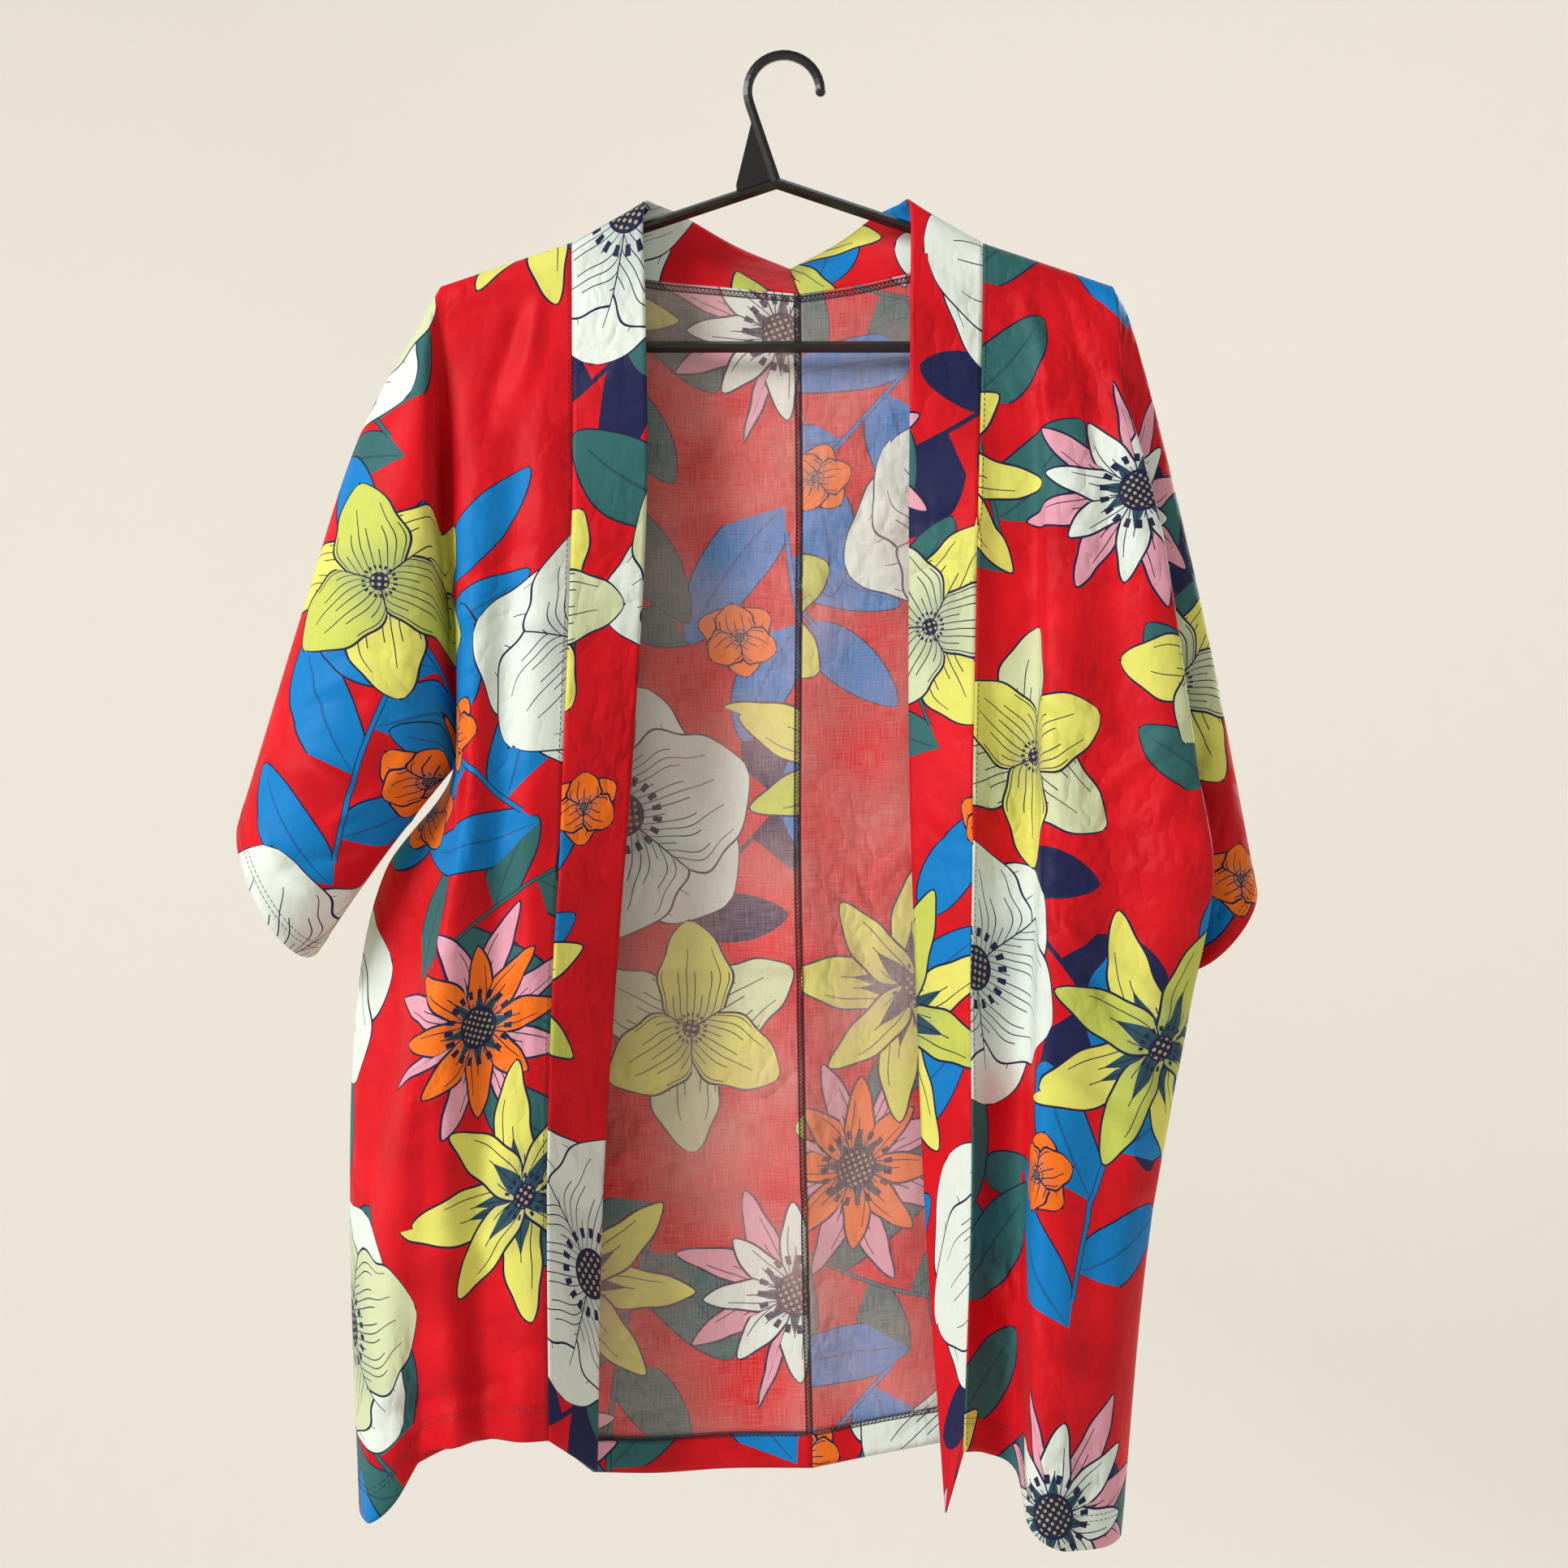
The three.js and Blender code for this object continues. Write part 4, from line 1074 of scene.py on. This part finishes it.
def printedCloth(name, wrongSide):
    material = bpy.data.materials.new(name)
    material.use_nodes = True
    tree = material.node_tree
    surface = tree.nodes["Principled BSDF"]
    flat = clothValue(tree, "flat")
    cloudy = noiseAt(tree, flat, clothLook["cloud"])
    colour = blend(tree, held(cloudy * 2.0 - 0.5), clothLook["red"], clothLook["deepRed"])
    for layer, leafy in layerNames.items():
        colour = sprayOn(tree, layer, colour) if leafy else flowerOn(tree, layer, colour)
    slub = noiseAt(tree, scaled(tree, flat, clothLook["slub"]), 1.0)
    cross = noiseAt(tree, scaled(tree, flat, clothLook["cross"]), 1.0)
    weave = slub * 0.5 + cross * 0.5
    if wrongSide:
        patches = (noiseAt(tree, flat, clothLook["patch"], 1.0) - 0.5) * clothLook["patchy"]
        share = held(weave * 1.1 + patches - clothLook["fadedShare"])
        colour = blend(tree, share, colour, clothLook["faded"])
    else:
        colour = blend(tree, held(weave * 0.25 - 0.08), colour, (0.02, 0.01, 0.02))
    tree.links.new(colour, surface.inputs["Base Color"])
    surface.inputs["Roughness"].default_value = clothLook["rough"]
    surface.inputs["Sheen Weight"].default_value = clothLook["fuzz"]
    surface.inputs["Specular IOR Level"].default_value = clothLook["shine"]
    # crumples: soft lines where a slow noise crosses its middle, strong in some places only
    long = (noiseAt(tree, scaled(tree, flat, clothLook["longCrumple"]), 1.0, 1.5) - 0.5).do("ABSOLUTE")
    small = (noiseAt(tree, scaled(tree, flat, clothLook["smallCrumple"]), 1.0, 2.0) - 0.5).do("ABSOLUTE")
    where = held(noiseAt(tree, scaled(tree, flat, clothLook["where"]), 1.0, 1.0) * 5.0 - 2.1)
    height = (held(long * 4.0) + held(small * 5.0) * 0.3) * (where * 0.8 + 0.2)
    soft = bumpOf(tree, height, clothLook["crumpleStrength"], clothLook["crumple"])
    fine = bumpOf(tree, weave, clothLook["weaveStrength"], clothLook["weaveDeep"])
    tree.links.new(soft.outputs[0], fine.inputs["Normal"])
    tree.links.new(fine.outputs[0], surface.inputs["Normal"])
    return material


plasticLook = {
    "dark": (0.004, 0.004, 0.005), "light": (0.008, 0.008, 0.009), "rough": 0.30,
    "speckle": 900.0, "strength": 0.15, "deep": 0.2,
}
threadLook = {"dark": (0.006, 0.007, 0.014), "light": (0.03, 0.03, 0.045), "rough": 0.7, "fibre": 2500.0}


def blackPlastic():
    material = bpy.data.materials.new("blackPlastic")
    material.use_nodes = True
    tree = material.node_tree
    surface = tree.nodes["Principled BSDF"]
    place = node(tree, "ShaderNodeTexCoord").outputs["Object"]
    speckle = noiseAt(tree, place, plasticLook["speckle"])
    tone = blend(tree, speckle, plasticLook["dark"], plasticLook["light"])
    tree.links.new(tone, surface.inputs["Base Color"])
    surface.inputs["Roughness"].default_value = plasticLook["rough"]
    grain = bumpOf(tree, speckle, plasticLook["strength"], plasticLook["deep"])
    tree.links.new(grain.outputs[0], surface.inputs["Normal"])
    return material


def darkThread():
    material = bpy.data.materials.new("darkThread")
    material.use_nodes = True
    tree = material.node_tree
    surface = tree.nodes["Principled BSDF"]
    place = node(tree, "ShaderNodeTexCoord").outputs["Object"]
    fibre = noiseAt(tree, place, threadLook["fibre"])
    tone = blend(tree, fibre, threadLook["dark"], threadLook["light"])
    tree.links.new(tone, surface.inputs["Base Color"])
    surface.inputs["Roughness"].default_value = threadLook["rough"]
    return material


studio = {
    "floorZ": -2.1, "bowl": 3.6, "bend": 0.35, "high": 4.2, "bendSteps": 28, "turns": 96,
    "colour": (0.895, 0.868, 0.812), "rough": 0.95,
    "world": 0.36, "worldColour": (1, 0.985, 0.96), "aim": (0, 0, -0.45),
}
lights = rowsOf(("name", "place", "aim", "size", "power"), [
    ("keyLight", (-2.3, -1.9, 0.9), studio["aim"], 1.1, 94),
    ("fillLight", (2.2, -2.2, 0.3), studio["aim"], 2.0, 3),
    ("behindLight", (1.9, 2.3, 0.9), studio["aim"], 1.4, 58),
    ("wallLight", (0.4, 1.6, 1.8), (0, 3.9, -0.7), 2.4, 32),
])
photo = {"far": 1.8, "middleZ": -0.44575, "shows": 0.966, "sensor": 36}      # metres, sensor in mm


def paleRoom():
    # a round floor that curves up into walls, the same from every side
    bowl, bend, steps, turns = (studio[key] for key in ("bowl", "bend", "bendSteps", "turns"))
    rings = [(bowl * k / 6, 0.0) for k in range(6)]
    for k in range(steps + 1):
        a = math.pi / 2 * k / steps
        rings.append((bowl * (1 + bend * math.sin(a)), bowl * bend * (1 - math.cos(a))))
    rings.append((bowl * (1 + bend), studio["high"]))
    points, faces = [], []
    for far, high in rings:
        points += [(far * math.cos(2 * math.pi * n / turns), far * math.sin(2 * math.pi * n / turns),
                    studio["floorZ"] + high) for n in range(turns)]
    for r in range(len(rings) - 1):
        for n in range(turns):
            m = (n + 1) % turns
            faces.append((r * turns + n, r * turns + m, (r + 1) * turns + m, (r + 1) * turns + n))
    mesh = bpy.data.meshes.new("paleRoom")
    mesh.from_pydata(points, [], faces)
    for face in mesh.polygons:
        face.use_smooth = True
    room = bpy.data.objects.new("paleRoom", mesh)
    bpy.context.scene.collection.objects.link(room)
    paint = bpy.data.materials.new("palePaint")
    paint.use_nodes = True
    surface = paint.node_tree.nodes["Principled BSDF"]
    surface.inputs["Base Color"].default_value = (*studio["colour"], 1)
    surface.inputs["Roughness"].default_value = studio["rough"]
    room.data.materials.append(paint)
    return room


def softLight(name, place, aim, size, power):
    light = bpy.data.lights.new(name, "AREA")
    light.shape = "DISK"
    light.size = size
    light.energy = power
    lamp = bpy.data.objects.new(name, light)
    lamp.location = place
    lamp.rotation_euler = (Vector(aim) - Vector(place)).to_track_quat("-Z", "Y").to_euler()
    bpy.context.scene.collection.objects.link(lamp)


def photoCamera():
    camera = bpy.data.cameras.new("photoCamera")
    camera.sensor_width = photo["sensor"]
    camera.lens = photo["sensor"] * photo["far"] / photo["shows"]
    seen = bpy.data.objects.new("photoCamera", camera)
    seen.location = (0, -photo["far"], photo["middleZ"])
    seen.rotation_euler = (math.pi / 2, 0, 0)
    bpy.context.scene.collection.objects.link(seen)
    bpy.context.scene.camera = seen


printShifts = {"right": (40, 60), "left": (310, 250), "band": (150, 120)}      # mm on the repeat


def dressHalf(half, side, face, inside, thread):
    sheets, bands = halfSheets(half)
    shift = printShifts[side]
    body = clothPiece(f"body_{side}", sheets, half["side"], shift, cloth["thick"], [face, inside])
    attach(body, "root")
    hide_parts(f"{side}_half")
    band = clothPiece(f"band_{side}", bands, -half["side"], printShifts["band"], cloth["bandThick"],
                      [face, face])
    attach(band, "root")
    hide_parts(f"neck_band_{side}")
    area = sum(surfaceOf(s["points"]) for s in sheets) * mm * mm
    bandArea = surfaceOf(bands[0]["points"]) * mm * mm
    sewn = sewHalf(side, half, sheets, shift, thread, face)
    print(side, "half, flat area", round(area, 4), "band", round(bandArea, 4))
    return body, band, sewn, area, bandArea


def surfaceOf(sheet):
    a = sheet[1:, 1:] - sheet[:-1, :-1]
    b = sheet[1:, :-1] - sheet[:-1, 1:]
    return float(np.linalg.norm(np.cross(a, b), axis=-1).sum() / 2)


face = printedCloth("printedFace", False)
inside = printedCloth("printedInside", True)
thread = darkThread()
print("materials made")
for half, side in ((rightHalf, "right"), (leftHalf, "left")):
    body, band, sewn, area, bandArea = dressHalf(half, side, face, inside, thread)
    long, wide = cutSizes["long"], cutSizes["wide"]
    min(area, wide * long)
    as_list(sewn)
    min(bandArea, cutSizes["bandWide"] * cutSizes["bandLong"])

hanger = frame["nodes"]["hanger"]
plastic = blackPlastic()
for holder in hanger.material_slots:
    holder.material = plastic
print("hanger finished")

room = paleRoom()
for light in lights:
    softLight(**light)
world = bpy.data.worlds.new("paleWorld")
world.use_nodes = True
world.node_tree.nodes["Background"].inputs["Color"].default_value = (*studio["worldColour"], 1)
world.node_tree.nodes["Background"].inputs["Strength"].default_value = studio["world"]
bpy.context.scene.world = world
bpy.context.scene.view_settings.view_transform = "Standard"
photoCamera()
print("room,", len(lights), "lights and camera set")
